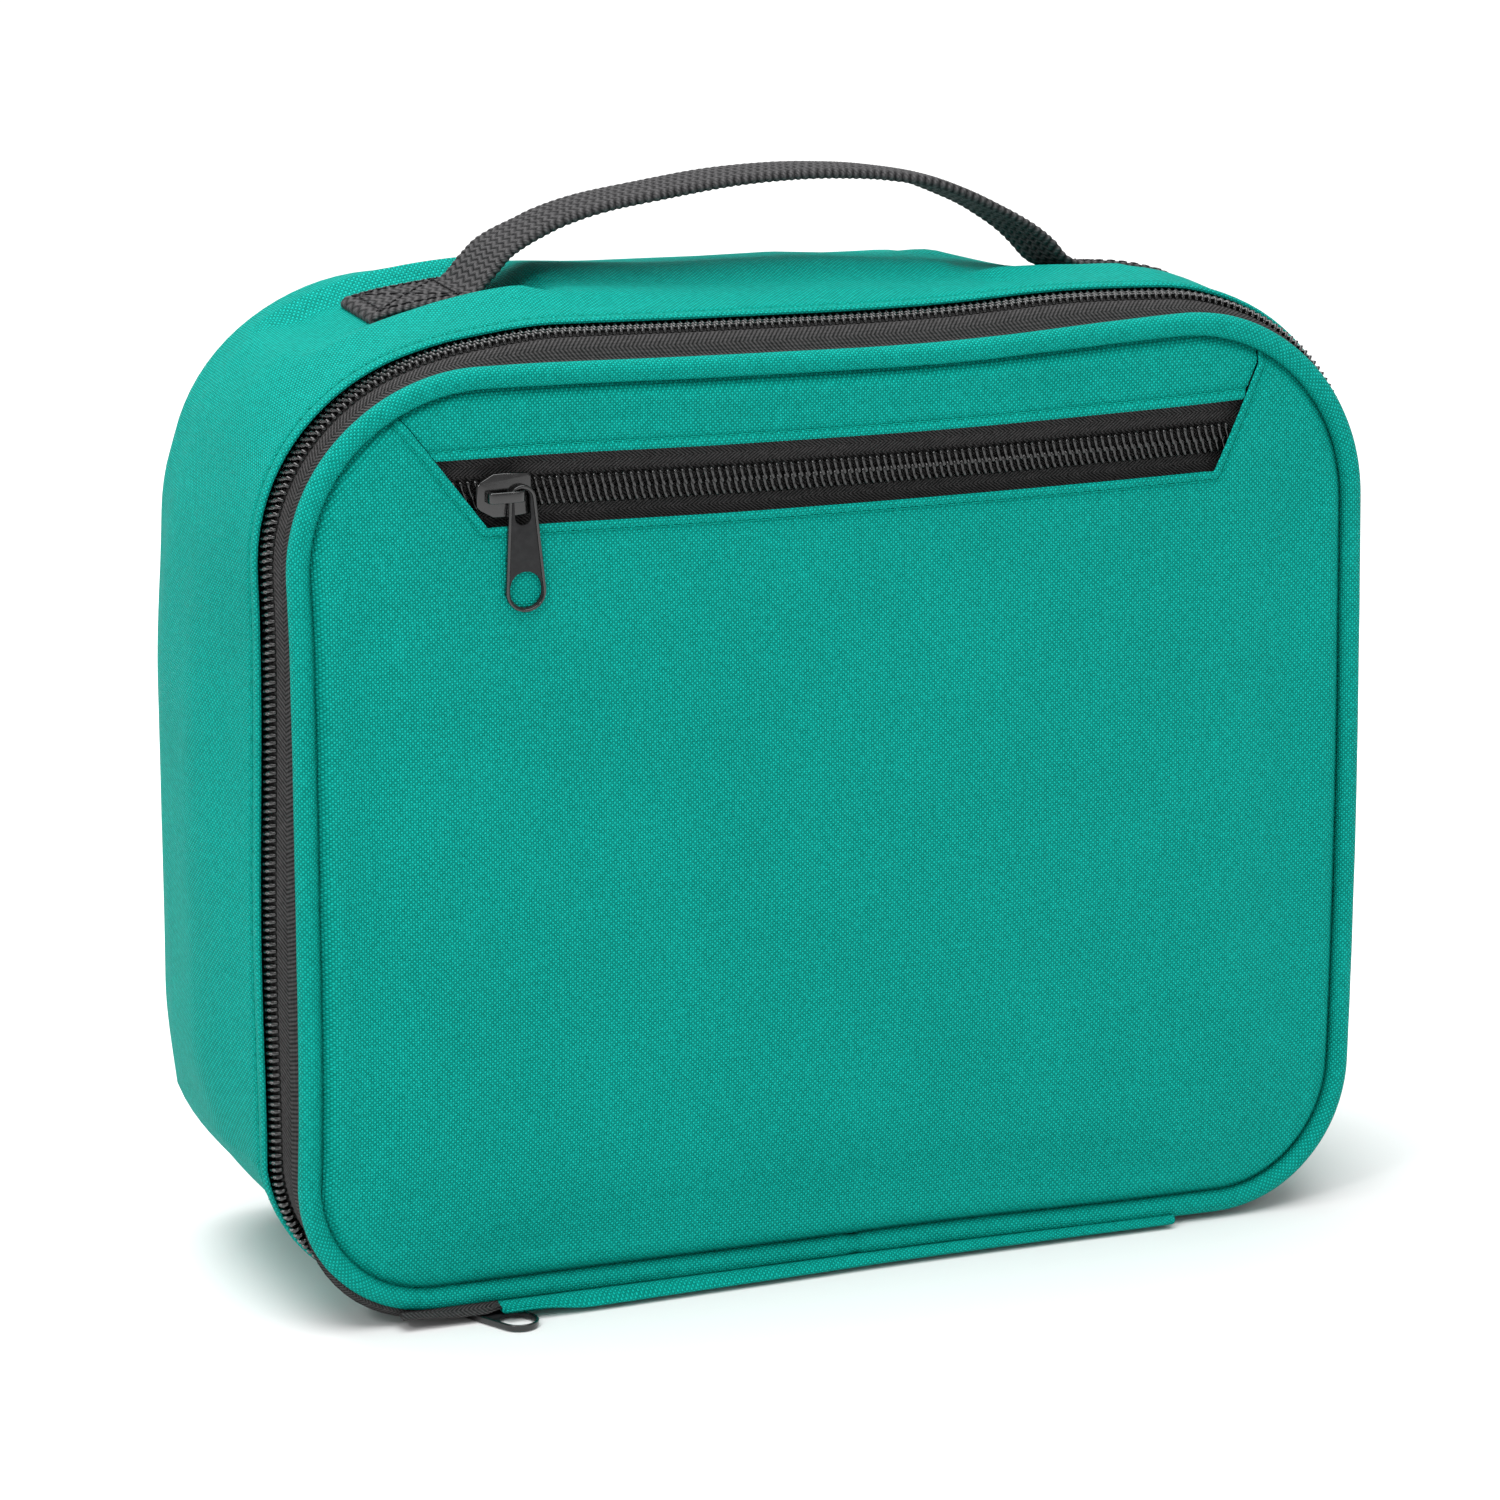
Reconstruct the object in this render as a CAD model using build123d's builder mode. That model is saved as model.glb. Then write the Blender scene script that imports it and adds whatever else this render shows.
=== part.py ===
"""Soft zip-around lunch bag: a padded shell, a front lid hinged on a cloth strip, a front zip pocket,
a webbing carry handle, and two coil zips with metal sliders and pullers.

Frame: origin on the table under the middle of the bag, +Z up, the lid faces -Y. Millimetres.
"""
from build123d import *
import os

os.makedirs("parts", exist_ok=True)

# ---- driving sizes -------------------------------------------------------------------------------
WIDTH = 250.0  # overall, side to side
HEIGHT = 209.0  # table to the top panel
DEPTH = 85.0  # front face of the lid to the back panel
TOP_RADIUS = 46.0  # upper corners, seen from the front
BOTTOM_RADIUS = 34.0  # lower corners
BACK_RADIUS = 14.0  # soft edge between the back panel and the sides
BACK_SEAM_DEPTH = 6.0  # how far the back panel turns forward to its seam
HALF = WIDTH / 2
FRONT_Y = -DEPTH / 2

FABRIC = 1.0  # woven polyester with its coating
FOAM = 4.0  # insulating foam
LINER = 0.6  # wipe-clean foil film
LAYER_GAP = 0.1  # between layers that lie on each other
MOVE_GAP = 0.3  # between pieces that pass each other

# ---- coil zips -----------------------------------------------------------------------------------
COIL_WIDTH = 2.2  # one half of the chain
COIL_GAP = 1.6  # between the two halves, where the slider's wedge runs
COIL_HEIGHT = 2.4
TAPE = 0.6
CHAIN_WIDTH = 2 * COIL_WIDTH + COIL_GAP
STOP = 2.4  # length of an end stop
STOP_PROUD = 0.2  # stop stands out past the coil
STOP_CLEAR = 0.05  # stop above the tape

# ---- main zip ------------------------------------------------------------------------------------
CHAIN_INSET = 0.8  # chain surface inside the outline at the sides and the top
CHAIN_LIFT = 5.0  # chain surface above the table along the bottom
CHAIN_Y = FRONT_Y + 10.3  # middle of the chain, front to back
MOUTH_Y = CHAIN_Y + 5.2  # front edge of the side fabric
PADDING_Y = MOUTH_Y + 2.5  # front edge of the side foam and liner
STRIP_HALF = HALF - 47.5  # half length of the cloth hinge, where the chain ends

# ---- lid -----------------------------------------------------------------------------------------
BEAD_RADIUS = 2.4  # piping round the lid
BEAD_INSET = 5.6  # middle of the piping inside the outline
BEAD_Y = FRONT_Y + 2.5
PIPING_WALL = 0.95
CORD_RADIUS = BEAD_RADIUS - PIPING_WALL - LAYER_GAP  # cord inside the piping
WELT_WIDTH = 5.5  # turned-in seam allowances behind the front panels
LID_BACKING = 0.7  # panel behind the pocket
BINDING = 1.8
BINDING_DEPTH = 9.0
PANEL_INSET = BEAD_RADIUS + LAYER_GAP
WELT_GAP = 0.5  # seam allowances above the zip tape, along the bottom
WELT_SLIDER_GAP = 0.2  # seam allowances in front of the parked slider
TAPE_DEPTH = COIL_HEIGHT + TAPE
BEAD_LIFT = CHAIN_LIFT + TAPE_DEPTH + WELT_GAP - PANEL_INSET  # middle of the piping above the table

# ---- pocket zip ----------------------------------------------------------------------------------
POCKET_CHAIN_Z = HEIGHT - 30.0
WINDOW_LOW = POCKET_CHAIN_Z - 6.5  # folded edge of the lower front panel
WINDOW_HIGH = POCKET_CHAIN_Z + 8.0  # folded edge of the upper front panel
WINDOW_LEFT = -HALF + 45.8  # lower corners of the window
WINDOW_RIGHT = HALF - 40.1
POCKET_SLIDER_X = WINDOW_LEFT + 4.0  # parked at the closed end
WINDOW_SLOPE = 0.73  # sideways run of the slanted edges for each millimetre up (left)
WINDOW_SLOPE_RIGHT = 0.52
POCKET_CHAIN_Y = FRONT_Y + 0.2  # outer surface of the pocket chain
POCKET_TAPE_WIDTH = 10.0
POCKET_TAPE_SPAN = (WINDOW_LEFT - 12.8, WINDOW_RIGHT + 11.1)
HEM = 4.0
HEM_DEPTH = 1.4
UPPER_PANEL_SETBACK = 0.3  # the lower panel laps in front of the upper one

# ---- sliders and pullers ---------------------------------------------------------------------------
SLIDER_X = WIDTH / 2 - BOTTOM_RADIUS - 1.0  # parked where the chain starts round the left corner
PLATE = 1.1
PLATE_GAP = 0.5  # outer plate above the coil
KEEL_GAP = 0.85  # inner plate below the tape, so the slider passes round the corners
KEEL_ROOM = 0.45  # behind the pocket slider's inner plate
PLATE_CORNER = 0.9
NOSE_SHARE = 0.45  # half width of the nose, as a share of the plate's widest
NOSE_LENGTH = 3.6  # from the nose to the widest place
SHOULDER_SHARE = 0.92
WEDGE = 1.0
WEDGE_LENGTH = 2.0
WEDGE_BACK = 1.5  # middle of the wedge from the nose
FLANGE = 0.8
FLANGE_GAP = 0.4
FLANGE_DROP = 1.9
FLANGE_LENGTH = 7.4
FLANGE_SHIFT = 1.0
SLIDER_FRONT = 6.0
SLIDER_REAR = 5.9
SLIDER_HALF = 4.6
ARCH_HALF = 4.0
ARCH_WIDTH = 1.8
ARCH = 1.0
ARCH_GAP = 2.0
ARCH_CORNER = 0.8
ARCH_RISE = ARCH_GAP + ARCH
PULLER = 1.4
PULLER_LENGTH = 26.0
PULLER_TOP = 2.9
PULLER_TIP = 4.3
PULLER_TOP_SHIFT = 0.7
EYE_TOP = 1.7
EYE_TOP_SHIFT = 0.5
EYE_LOW = 1.35
EYE_LOW_SHIFT = 4.4
TIP_HOLE = 3.25
TIP_HOLE_RISE = 2.2
TIP_HOLE_TAPER = 0.1
WEB_RECESS = 0.35
WEB_START = 2.5  # recess from the eye's lower end
WEB_MARGIN = 1.0  # recess from the tip hole
WEB_TAPER = 0.4
MAIN_PULLER_ANGLE = 56.0  # from the chain towards the front
POCKET_PULLER_ANGLE = -88.0  # hangs straight down

# ---- handle --------------------------------------------------------------------------------------
WEB = 1.7  # webbing thickness
WEB_WIDTH = 22.0
HANDLE_Y = 10.0
LEFT_END = (-HALF + 32.0, -HALF + 59.0)  # sewn ends
RIGHT_END = (HALF - 55.0, HALF - 28.0)
LEFT_BEND = LEFT_END[1] + 16.0  # where the arch starts to lean
RIGHT_BEND = RIGHT_END[0] - 14.0
FOOT_LIFT = 0.4
ARCH_SHAPE = [(0, 0), (0.044, 9.4), (0.147, 17.4), (0.427, 23.4), (0.691, 22.4), (0.882, 13.2), (1, 0)]
STITCH = 0.25
THREAD = 0.7
STITCH_INSET = 2.5

# ---- worked-out places ---------------------------------------------------------------------------
PADDING_INSET = FABRIC + LAYER_GAP
LINER_INSET = PADDING_INSET + FOAM + LAYER_GAP
BINDING_INSET = LINER_INSET + LINER + LAYER_GAP
FLAT_HALF = HALF - BOTTOM_RADIUS  # half length of the flat base
BACK_SEAM_Y = DEPTH / 2 - BACK_SEAM_DEPTH
FLAT_BACK = DEPTH / 2 - BACK_RADIUS  # where the base starts to turn up
LID_BACKING_Y = POCKET_CHAIN_Y + TAPE_DEPTH + KEEL_GAP + PLATE + KEEL_ROOM  # rear side of the pocket
LAYER_DEPTH = TAPE_DEPTH + KEEL_GAP + PLATE + MOVE_GAP  # lid padding clears the slider's inner plate
PARKED_X = -SLIDER_X
LID_CHAIN_END = PARKED_X - SLIDER_FRONT - MOVE_GAP


# ---- outlines seen from the front ----------------------------------------------------------------
def outline(half_width, low, high, top_radius, bottom_radius):
    """Private sketch of a rectangle with two corner radii, in x and z."""
    with BuildSketch(mode=Mode.PRIVATE) as shape:
        with Locations((0, (low + high) / 2)):
            Rectangle(2 * half_width, high - low)
        fillet(shape.vertices().group_by(Axis.Y)[-1], top_radius)
        fillet(shape.vertices().group_by(Axis.Y)[0], bottom_radius)
    return shape.sketch_local


def bag_outline(inset):
    """Outline of the bag's side wall, drawn in by `inset`."""
    return outline(HALF - inset, inset, HEIGHT - inset, TOP_RADIUS - inset, BOTTOM_RADIUS - inset)


def chain_outline(depth):
    """Outline of the main chain, `depth` below its outer surface."""
    inset = CHAIN_INSET + depth
    return outline(HALF - inset, CHAIN_LIFT + depth, HEIGHT - inset,
                   TOP_RADIUS - inset, BOTTOM_RADIUS + 1.0 - inset)


def bead_outline(inset):
    """Outline of the lid's piping; 0 is the middle of the cord and positive is inward."""
    shrink = BEAD_INSET + inset
    return outline(HALF - shrink, BEAD_LIFT + inset, HEIGHT - shrink,
                   TOP_RADIUS - shrink, BOTTOM_RADIUS - shrink)


def band(outer, inner, front, back):
    """Extrude the ring between two outlines from y = front to y = back."""
    with BuildSketch(Plane.XZ.offset(-back)) as ring:
        add(outer)
        add(inner, mode=Mode.SUBTRACT)
    extrude(ring.sketch, amount=back - front)


def plate(shape, front, back, mode=Mode.ADD):
    """Extrude an outline from y = front to y = back."""
    with BuildSketch(Plane.XZ.offset(-back)) as face:
        add(shape)
    extrude(face.sketch, amount=back - front, mode=mode)


def block(x_range, y_range, z_range, mode):
    """Box between two limits on each axis."""
    size = [high - low for low, high in (x_range, y_range, z_range)]
    centre = [(low + high) / 2 for low, high in (x_range, y_range, z_range)]
    with Locations(tuple(centre)):
        Box(*size, mode=mode)


FAR = 400.0  # beyond the bag in every direction
EVERYWHERE = (-FAR, FAR)


# ---- padded shell --------------------------------------------------------------------------------
def tub(inset, front):
    """Solid of the bag drawn in by `inset`, open side cut at y = front, back edge rounded."""
    with BuildPart(mode=Mode.PRIVATE) as solid:
        plate(bag_outline(inset), front, DEPTH / 2 - inset)
        fillet(solid.faces().sort_by(Axis.Y)[-1].edges(), BACK_RADIUS - inset)
    return solid.part


FABRIC_OUT = tub(0, MOUTH_Y)
FABRIC_IN = tub(FABRIC, MOUTH_Y)
FOAM_OUT = tub(PADDING_INSET, PADDING_Y)
FOAM_IN = tub(PADDING_INSET + FOAM, PADDING_Y)
LINER_OUT = tub(LINER_INSET, PADDING_Y)
LINER_IN = tub(LINER_INSET + LINER, PADDING_Y)
HANDLE_OUT = bag_outline(-LAYER_GAP - 2 * WEB)

BASE_SPAN = (-FLAT_HALF, FLAT_HALF)
BASE_INNER_SPAN = (-FLAT_HALF + LAYER_GAP, FLAT_HALF - LAYER_GAP)
FOAM_BACK = DEPTH / 2 - PADDING_INSET - FOAM
HINGE_NEAR = BEAD_RADIUS + MOVE_GAP  # the strip's edge from the piping's middle line
HINGE_PROFILE = [
    (MOUTH_Y - LAYER_GAP, 0),
    (BEAD_Y + 6.0, 0),
    (BEAD_Y + 0.40 * HINGE_NEAR, BEAD_LIFT - 1.48 * HINGE_NEAR),
    (BEAD_Y + 0.40 * HINGE_NEAR, BEAD_LIFT - HINGE_NEAR),
    (BEAD_Y + 0.70 * HINGE_NEAR, BEAD_LIFT - 0.74 * HINGE_NEAR),
    (BEAD_Y + 0.96 * HINGE_NEAR, BEAD_LIFT - 1.11 * HINGE_NEAR),
    (BEAD_Y + 6.3, FABRIC),
    (MOUTH_Y - LAYER_GAP, FABRIC),
]


# Outer fabric of the top, the sides and the four corners.
with BuildPart() as gusset_fabric:
    add(FABRIC_OUT)
    add(FABRIC_IN, mode=Mode.SUBTRACT)
    block(EVERYWHERE, (BACK_SEAM_Y, FAR), EVERYWHERE, Mode.SUBTRACT)
    block(BASE_SPAN, EVERYWHERE, (-FAR, BOTTOM_RADIUS), Mode.SUBTRACT)

# Flat fabric base that the bag stands on.
with BuildPart() as base_panel:
    add(FABRIC_OUT)
    add(FABRIC_IN, mode=Mode.SUBTRACT)
    block(BASE_INNER_SPAN, (-FAR, BACK_SEAM_Y), (-FAR, BOTTOM_RADIUS), Mode.INTERSECT)

# Back panel with its turned edge.
with BuildPart() as back_panel:
    add(FABRIC_OUT)
    add(FABRIC_IN, mode=Mode.SUBTRACT)
    block(EVERYWHERE, (BACK_SEAM_Y + LAYER_GAP, FAR), EVERYWHERE, Mode.INTERSECT)

# Foam of the top, the sides and the corners, with the rounded back edge all round.
with BuildPart() as gusset_foam:
    add(FOAM_OUT)
    add(FOAM_IN, mode=Mode.SUBTRACT)
    block(BASE_SPAN, (-FAR, FLAT_BACK), (-FAR, BOTTOM_RADIUS), Mode.SUBTRACT)
    plate(bag_outline(BACK_RADIUS), FOAM_BACK, DEPTH, Mode.SUBTRACT)

# Flat foam of the base.
with BuildPart() as base_foam:
    add(FOAM_OUT)
    add(FOAM_IN, mode=Mode.SUBTRACT)
    block(BASE_INNER_SPAN, (-FAR, FLAT_BACK - LAYER_GAP), (-FAR, BOTTOM_RADIUS), Mode.INTERSECT)

# Flat foam sheet of the back.
with BuildPart() as back_foam:
    plate(bag_outline(BACK_RADIUS + LAYER_GAP), FOAM_BACK, FOAM_BACK + FOAM)

# Wipe-clean tub that lines the whole shell.
with BuildPart() as shell_liner:
    add(LINER_OUT)
    add(LINER_IN, mode=Mode.SUBTRACT)

# Cloth binding over the raw edges inside the mouth.
with BuildPart() as mouth_binding:
    mouth_back = PADDING_Y + BINDING_DEPTH
    band(bag_outline(BINDING_INSET), bag_outline(BINDING_INSET + BINDING), PADDING_Y, mouth_back)

# Cloth hinge: runs forward from the base and turns up to the piping, never touching it.
with BuildPart() as hinge_strip:
    with BuildSketch(Plane.YZ.offset(-STRIP_HALF)):
        with BuildLine():
            Polyline(HINGE_PROFILE, close=True)
        make_face()
    extrude(amount=2 * STRIP_HALF)


# ---- main zip ------------------------------------------------------------------------------------
def cut_chain(left, right):
    """Remove the bottom run of a chain ring between two places."""
    block((left, right), EVERYWHERE, (-FAR, BOTTOM_RADIUS / 2), Mode.SUBTRACT)


def stop(left):
    """Moulded end stop in line with the rear coil, starting at x = left."""
    stop_x = (left, left + STOP)
    stop_z = (CHAIN_LIFT - STOP_PROUD, CHAIN_LIFT + COIL_HEIGHT - STOP_CLEAR)
    block(stop_x, (CHAIN_Y + COIL_GAP / 2, REAR_COIL_BACK), stop_z, Mode.ADD)


REAR_COIL_FRONT = CHAIN_Y + COIL_GAP / 2
REAR_COIL_BACK = REAR_COIL_FRONT + COIL_WIDTH
LID_COIL_BACK = CHAIN_Y - COIL_GAP / 2
LID_COIL_FRONT = LID_COIL_BACK - COIL_WIDTH
CHAIN_STOP = STRIP_HALF + STOP + LAYER_GAP

# Zip half sewn to the shell: tape, coil and end stops.
with BuildPart() as rear_zip_tape:
    tape_back = PADDING_Y - LAYER_GAP
    band(chain_outline(COIL_HEIGHT), chain_outline(TAPE_DEPTH), REAR_COIL_FRONT, tape_back)
    cut_chain(-STRIP_HALF, STRIP_HALF)

with BuildPart() as rear_zip_coil:
    band(chain_outline(0), chain_outline(COIL_HEIGHT), REAR_COIL_FRONT, REAR_COIL_BACK)
    cut_chain(-CHAIN_STOP, CHAIN_STOP)

with BuildPart() as zip_stop_left:
    stop(-STRIP_HALF - STOP)

with BuildPart() as zip_stop_right:
    stop(STRIP_HALF)

# Zip half sewn to the lid, open beside the parked slider.
with BuildPart() as lid_zip_tape:
    tape_front = BEAD_Y + BEAD_RADIUS + MOVE_GAP
    band(chain_outline(COIL_HEIGHT), chain_outline(TAPE_DEPTH), tape_front, LID_COIL_BACK)
    cut_chain(LID_CHAIN_END, STRIP_HALF)

with BuildPart() as lid_zip_coil:
    band(chain_outline(0), chain_outline(COIL_HEIGHT), LID_COIL_FRONT, LID_COIL_BACK)
    cut_chain(LID_CHAIN_END, STRIP_HALF)


# ---- lid -----------------------------------------------------------------------------------------
def round_bead(outer, inner):
    """Sweep a round section, or a hollow one, along the piping's line."""
    with BuildSketch(Plane.XZ.offset(-BEAD_Y)) as ring:
        add(bead_outline(0))
    path = ring.sketch.face().outer_wire()
    with BuildSketch(Plane(origin=path @ 0, z_dir=path % 0)) as section:
        Circle(outer)
        if inner:
            Circle(inner, mode=Mode.SUBTRACT)
    sweep(section.sketch, path=path)


with BuildPart() as edge_piping:
    round_bead(BEAD_RADIUS, BEAD_RADIUS - PIPING_WALL)

with BuildPart() as piping_cord:
    round_bead(CORD_RADIUS, 0)

# Turned-in seam allowances between the front panels and the padded part of the lid.
with BuildPart() as lid_seam_allowance:
    welt_front = FRONT_Y + FABRIC + UPPER_PANEL_SETBACK + LAYER_GAP
    welt_back = CHAIN_Y - SLIDER_HALF - WELT_SLIDER_GAP
    band(bead_outline(PANEL_INSET), bead_outline(PANEL_INSET + WELT_WIDTH), welt_front, welt_back)


def window_shape(margin, low, high):
    """Trapezoid of the zip window between two heights, widened by `margin` on each side."""
    left_low = WINDOW_LEFT - margin - WINDOW_SLOPE * (low - WINDOW_LOW)
    left_high = WINDOW_LEFT - margin - WINDOW_SLOPE * (high - WINDOW_LOW)
    right_low = WINDOW_RIGHT + margin + WINDOW_SLOPE_RIGHT * (low - WINDOW_LOW)
    right_high = WINDOW_RIGHT + margin + WINDOW_SLOPE_RIGHT * (high - WINDOW_LOW)
    corners = [(left_low, low), (right_low, low), (right_high, high), (left_high, high)]
    with BuildSketch(mode=Mode.PRIVATE) as shape:
        with BuildLine():
            Polyline(corners, close=True)
        make_face()
    return shape.sketch_local


PANEL = bead_outline(PANEL_INSET)

# Lower front panel: the outside of the pocket, cut out above for the zip.
with BuildPart() as pocket_front_panel:
    plate(PANEL, FRONT_Y, FRONT_Y + FABRIC)
    plate(window_shape(0, WINDOW_LOW, HEIGHT), FRONT_Y - 1, DEPTH, Mode.SUBTRACT)
    hem_x = (WINDOW_LEFT, WINDOW_RIGHT)
    hem_z = (WINDOW_LOW - HEM, WINDOW_LOW)
    block(hem_x, (FRONT_Y + FABRIC, FRONT_Y + FABRIC + HEM_DEPTH), hem_z, Mode.ADD)

# Upper front panel, lapped by the slanted edges of the lower one.
with BuildPart() as upper_front_panel:
    upper_y = FRONT_Y + UPPER_PANEL_SETBACK
    plate(PANEL, upper_y, upper_y + FABRIC)
    plate(window_shape(-LAYER_GAP, WINDOW_HIGH, HEIGHT), FRONT_Y - 1, DEPTH, Mode.INTERSECT)
    upper_hem_x = (WINDOW_LEFT, WINDOW_RIGHT)
    upper_hem_z = (WINDOW_HIGH, WINDOW_HIGH + HEM)
    upper_hem_y = (upper_y + FABRIC, FRONT_Y + FABRIC + HEM_DEPTH)
    block(upper_hem_x, upper_hem_y, upper_hem_z, Mode.ADD)

# Padded rear part of the lid: backing of the pocket, foam, foil film and bound edge.
BACKING_BACK = LID_BACKING_Y + LID_BACKING
LID_FOAM_FRONT = BACKING_BACK + LAYER_GAP
LID_FOAM_BACK = LID_FOAM_FRONT + FOAM
LID_LINER_FRONT = LID_FOAM_BACK + LAYER_GAP
LID_LINER_BACK = LID_LINER_FRONT + LINER
LID_PADDING = chain_outline(LAYER_DEPTH + BINDING + LAYER_GAP)

with BuildPart() as pocket_back_panel:
    plate(LID_PADDING, LID_BACKING_Y, BACKING_BACK)

with BuildPart() as lid_foam:
    plate(LID_PADDING, LID_FOAM_FRONT, LID_FOAM_BACK)

with BuildPart() as lid_liner:
    plate(LID_PADDING, LID_LINER_FRONT, LID_LINER_BACK)

with BuildPart() as lid_binding:
    bound = chain_outline(LAYER_DEPTH)
    band(bound, chain_outline(LAYER_DEPTH + BINDING), LID_BACKING_Y, LID_LINER_BACK)


# ---- pocket zip ----------------------------------------------------------------------------------
POCKET_TAPE_FRONT = POCKET_CHAIN_Y + COIL_HEIGHT
LOWER_COIL = (POCKET_CHAIN_Z - CHAIN_WIDTH / 2, POCKET_CHAIN_Z - COIL_GAP / 2)
UPPER_COIL = (POCKET_CHAIN_Z + COIL_GAP / 2, POCKET_CHAIN_Z + CHAIN_WIDTH / 2)


def pocket_tape(low, high):
    """Flat zip tape behind the window between two heights."""
    block(POCKET_TAPE_SPAN, (POCKET_TAPE_FRONT, POCKET_TAPE_FRONT + TAPE), (low, high), Mode.ADD)


def pocket_coil(limits):
    """Half of the pocket chain, cut to the slanted edges of the window."""
    plate(window_shape(-MOVE_GAP, *limits), POCKET_CHAIN_Y, POCKET_TAPE_FRONT)


with BuildPart() as pocket_tape_lower:
    pocket_tape(LOWER_COIL[1] - POCKET_TAPE_WIDTH, LOWER_COIL[1])

with BuildPart() as pocket_tape_upper:
    pocket_tape(UPPER_COIL[0], UPPER_COIL[0] + POCKET_TAPE_WIDTH)

with BuildPart() as pocket_coil_lower:
    pocket_coil(LOWER_COIL)

with BuildPart() as pocket_coil_upper:
    pocket_coil(UPPER_COIL)


# ---- sliders and pullers -------------------------------------------------------------------------
MAIN_PLANE = Plane(origin=(PARKED_X, CHAIN_Y, CHAIN_LIFT), x_dir=(1, 0, 0), z_dir=(0, 0, -1))
POCKET_PLANE = Plane(
    origin=(POCKET_SLIDER_X, POCKET_CHAIN_Y, POCKET_CHAIN_Z), x_dir=(1, 0, 0), z_dir=(0, -1, 0)
)
PLATE_TOP = PLATE_GAP + PLATE
KEEL_TOP = -TAPE_DEPTH - KEEL_GAP
LEG_X = ARCH_HALF - ARCH / 2


def slider_outline():
    """Private sketch of a shield-shaped plate: narrow nose to the left, square shoulders to the right."""
    upper = [
        (-SLIDER_FRONT, SLIDER_HALF * NOSE_SHARE),
        (NOSE_LENGTH - SLIDER_FRONT, SLIDER_HALF),
        (SLIDER_REAR, SLIDER_HALF * SHOULDER_SHARE),
    ]
    lower = [(x, -y) for x, y in reversed(upper)]
    with BuildSketch(mode=Mode.PRIVATE) as shape:
        with BuildLine():
            Polyline(upper + lower, close=True)
        make_face()
        fillet(shape.vertices(), PLATE_CORNER)
    return shape.sketch_local


def slider(plane):
    """Zip slider on the chain surface at `plane`, with the chain along its x axis."""
    for bottom in (PLATE_GAP, KEEL_TOP - PLATE):
        with BuildSketch(plane.offset(bottom)) as face:
            add(slider_outline())
        extrude(face.sketch, amount=PLATE)
    with BuildSketch(plane.offset(KEEL_TOP)) as wedge:
        with Locations((WEDGE_BACK - SLIDER_FRONT, 0)):
            RectangleRounded(WEDGE_LENGTH, WEDGE, WEDGE * 0.45)
    extrude(wedge.sketch, amount=PLATE_GAP - KEEL_TOP)
    flange_y = CHAIN_WIDTH / 2 + FLANGE_GAP + FLANGE / 2
    with BuildSketch(plane.offset(PLATE_GAP - FLANGE_DROP)) as flanges:
        with Locations((FLANGE_SHIFT, flange_y), (FLANGE_SHIFT, -flange_y)):
            Rectangle(FLANGE_LENGTH, FLANGE)
    extrude(flanges.sketch, amount=FLANGE_DROP)
    side = Plane(
        origin=plane.from_local_coords(Vector(0, ARCH_WIDTH / 2, PLATE_TOP)),
        x_dir=plane.x_dir,
        z_dir=-plane.y_dir,
    )
    with BuildSketch(side) as arch:
        with Locations((0, ARCH_RISE / 2)):
            Rectangle(2 * ARCH_HALF, ARCH_RISE)
        fillet(arch.vertices().group_by(Axis.Y)[-1], ARCH_CORNER)
        with Locations((0, ARCH_GAP / 2)):
            Rectangle(2 * (ARCH_HALF - ARCH), ARCH_GAP, mode=Mode.SUBTRACT)
    extrude(arch.sketch, amount=ARCH_WIDTH)


def two_circles(low_radius, low_x, high_radius, high_x, mode=Mode.ADD):
    """Face that wraps two circles on the x axis."""
    with BuildSketch(mode=Mode.PRIVATE) as wrap:
        with Locations((low_x, 0)):
            Circle(low_radius)
        with Locations((high_x, 0)):
            Circle(high_radius)
        make_hull()
    add(wrap.sketch_local, mode=mode)


def puller(plane, angle):
    """Puller hung on the right leg of the slider's arch, pointing along `angle` in `plane`."""
    leg = plane.from_local_coords(Vector(LEG_X, 0, PLATE_TOP + (ARCH_GAP - PULLER) / 2))
    along = plane.x_dir.rotate(Axis((0, 0, 0), plane.z_dir), angle)
    tab = Plane(origin=leg, x_dir=along, z_dir=plane.z_dir)
    tip_x = PULLER_LENGTH - PULLER_TIP
    web_end = tip_x - TIP_HOLE_RISE - WEB_MARGIN
    with BuildSketch(tab) as face:
        two_circles(PULLER_TOP, PULLER_TOP_SHIFT, PULLER_TIP, tip_x)
        two_circles(EYE_TOP, EYE_TOP_SHIFT, EYE_LOW, EYE_LOW_SHIFT, Mode.SUBTRACT)
        two_circles(TIP_HOLE - TIP_HOLE_TAPER, tip_x - TIP_HOLE_RISE, TIP_HOLE, tip_x, Mode.SUBTRACT)
    extrude(face.sketch, amount=PULLER)
    for level in (PULLER - WEB_RECESS, 0):
        with BuildSketch(tab.offset(level)) as web:
            two_circles(EYE_TOP, EYE_LOW_SHIFT + WEB_START, TIP_HOLE - WEB_TAPER, web_end)
        extrude(web.sketch, amount=WEB_RECESS, mode=Mode.SUBTRACT)


with BuildPart() as main_slider:
    slider(MAIN_PLANE)

with BuildPart() as main_puller:
    puller(MAIN_PLANE, MAIN_PULLER_ANGLE)

with BuildPart() as pocket_slider:
    slider(POCKET_PLANE)

with BuildPart() as pocket_puller:
    puller(POCKET_PLANE, POCKET_PULLER_ANGLE)


# ---- handle --------------------------------------------------------------------------------------
STRAP_SIDES = (HANDLE_Y - WEB_WIDTH / 2, HANDLE_Y + WEB_WIDTH / 2)
ARCH_SPAN = RIGHT_END[0] - LEFT_END[1]
ARCH_FOOT = HEIGHT + LAYER_GAP + WEB + FOOT_LIFT
ARCH_POINTS = [(LEFT_END[1] + share * ARCH_SPAN, ARCH_FOOT + rise) for share, rise in ARCH_SHAPE]


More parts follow.
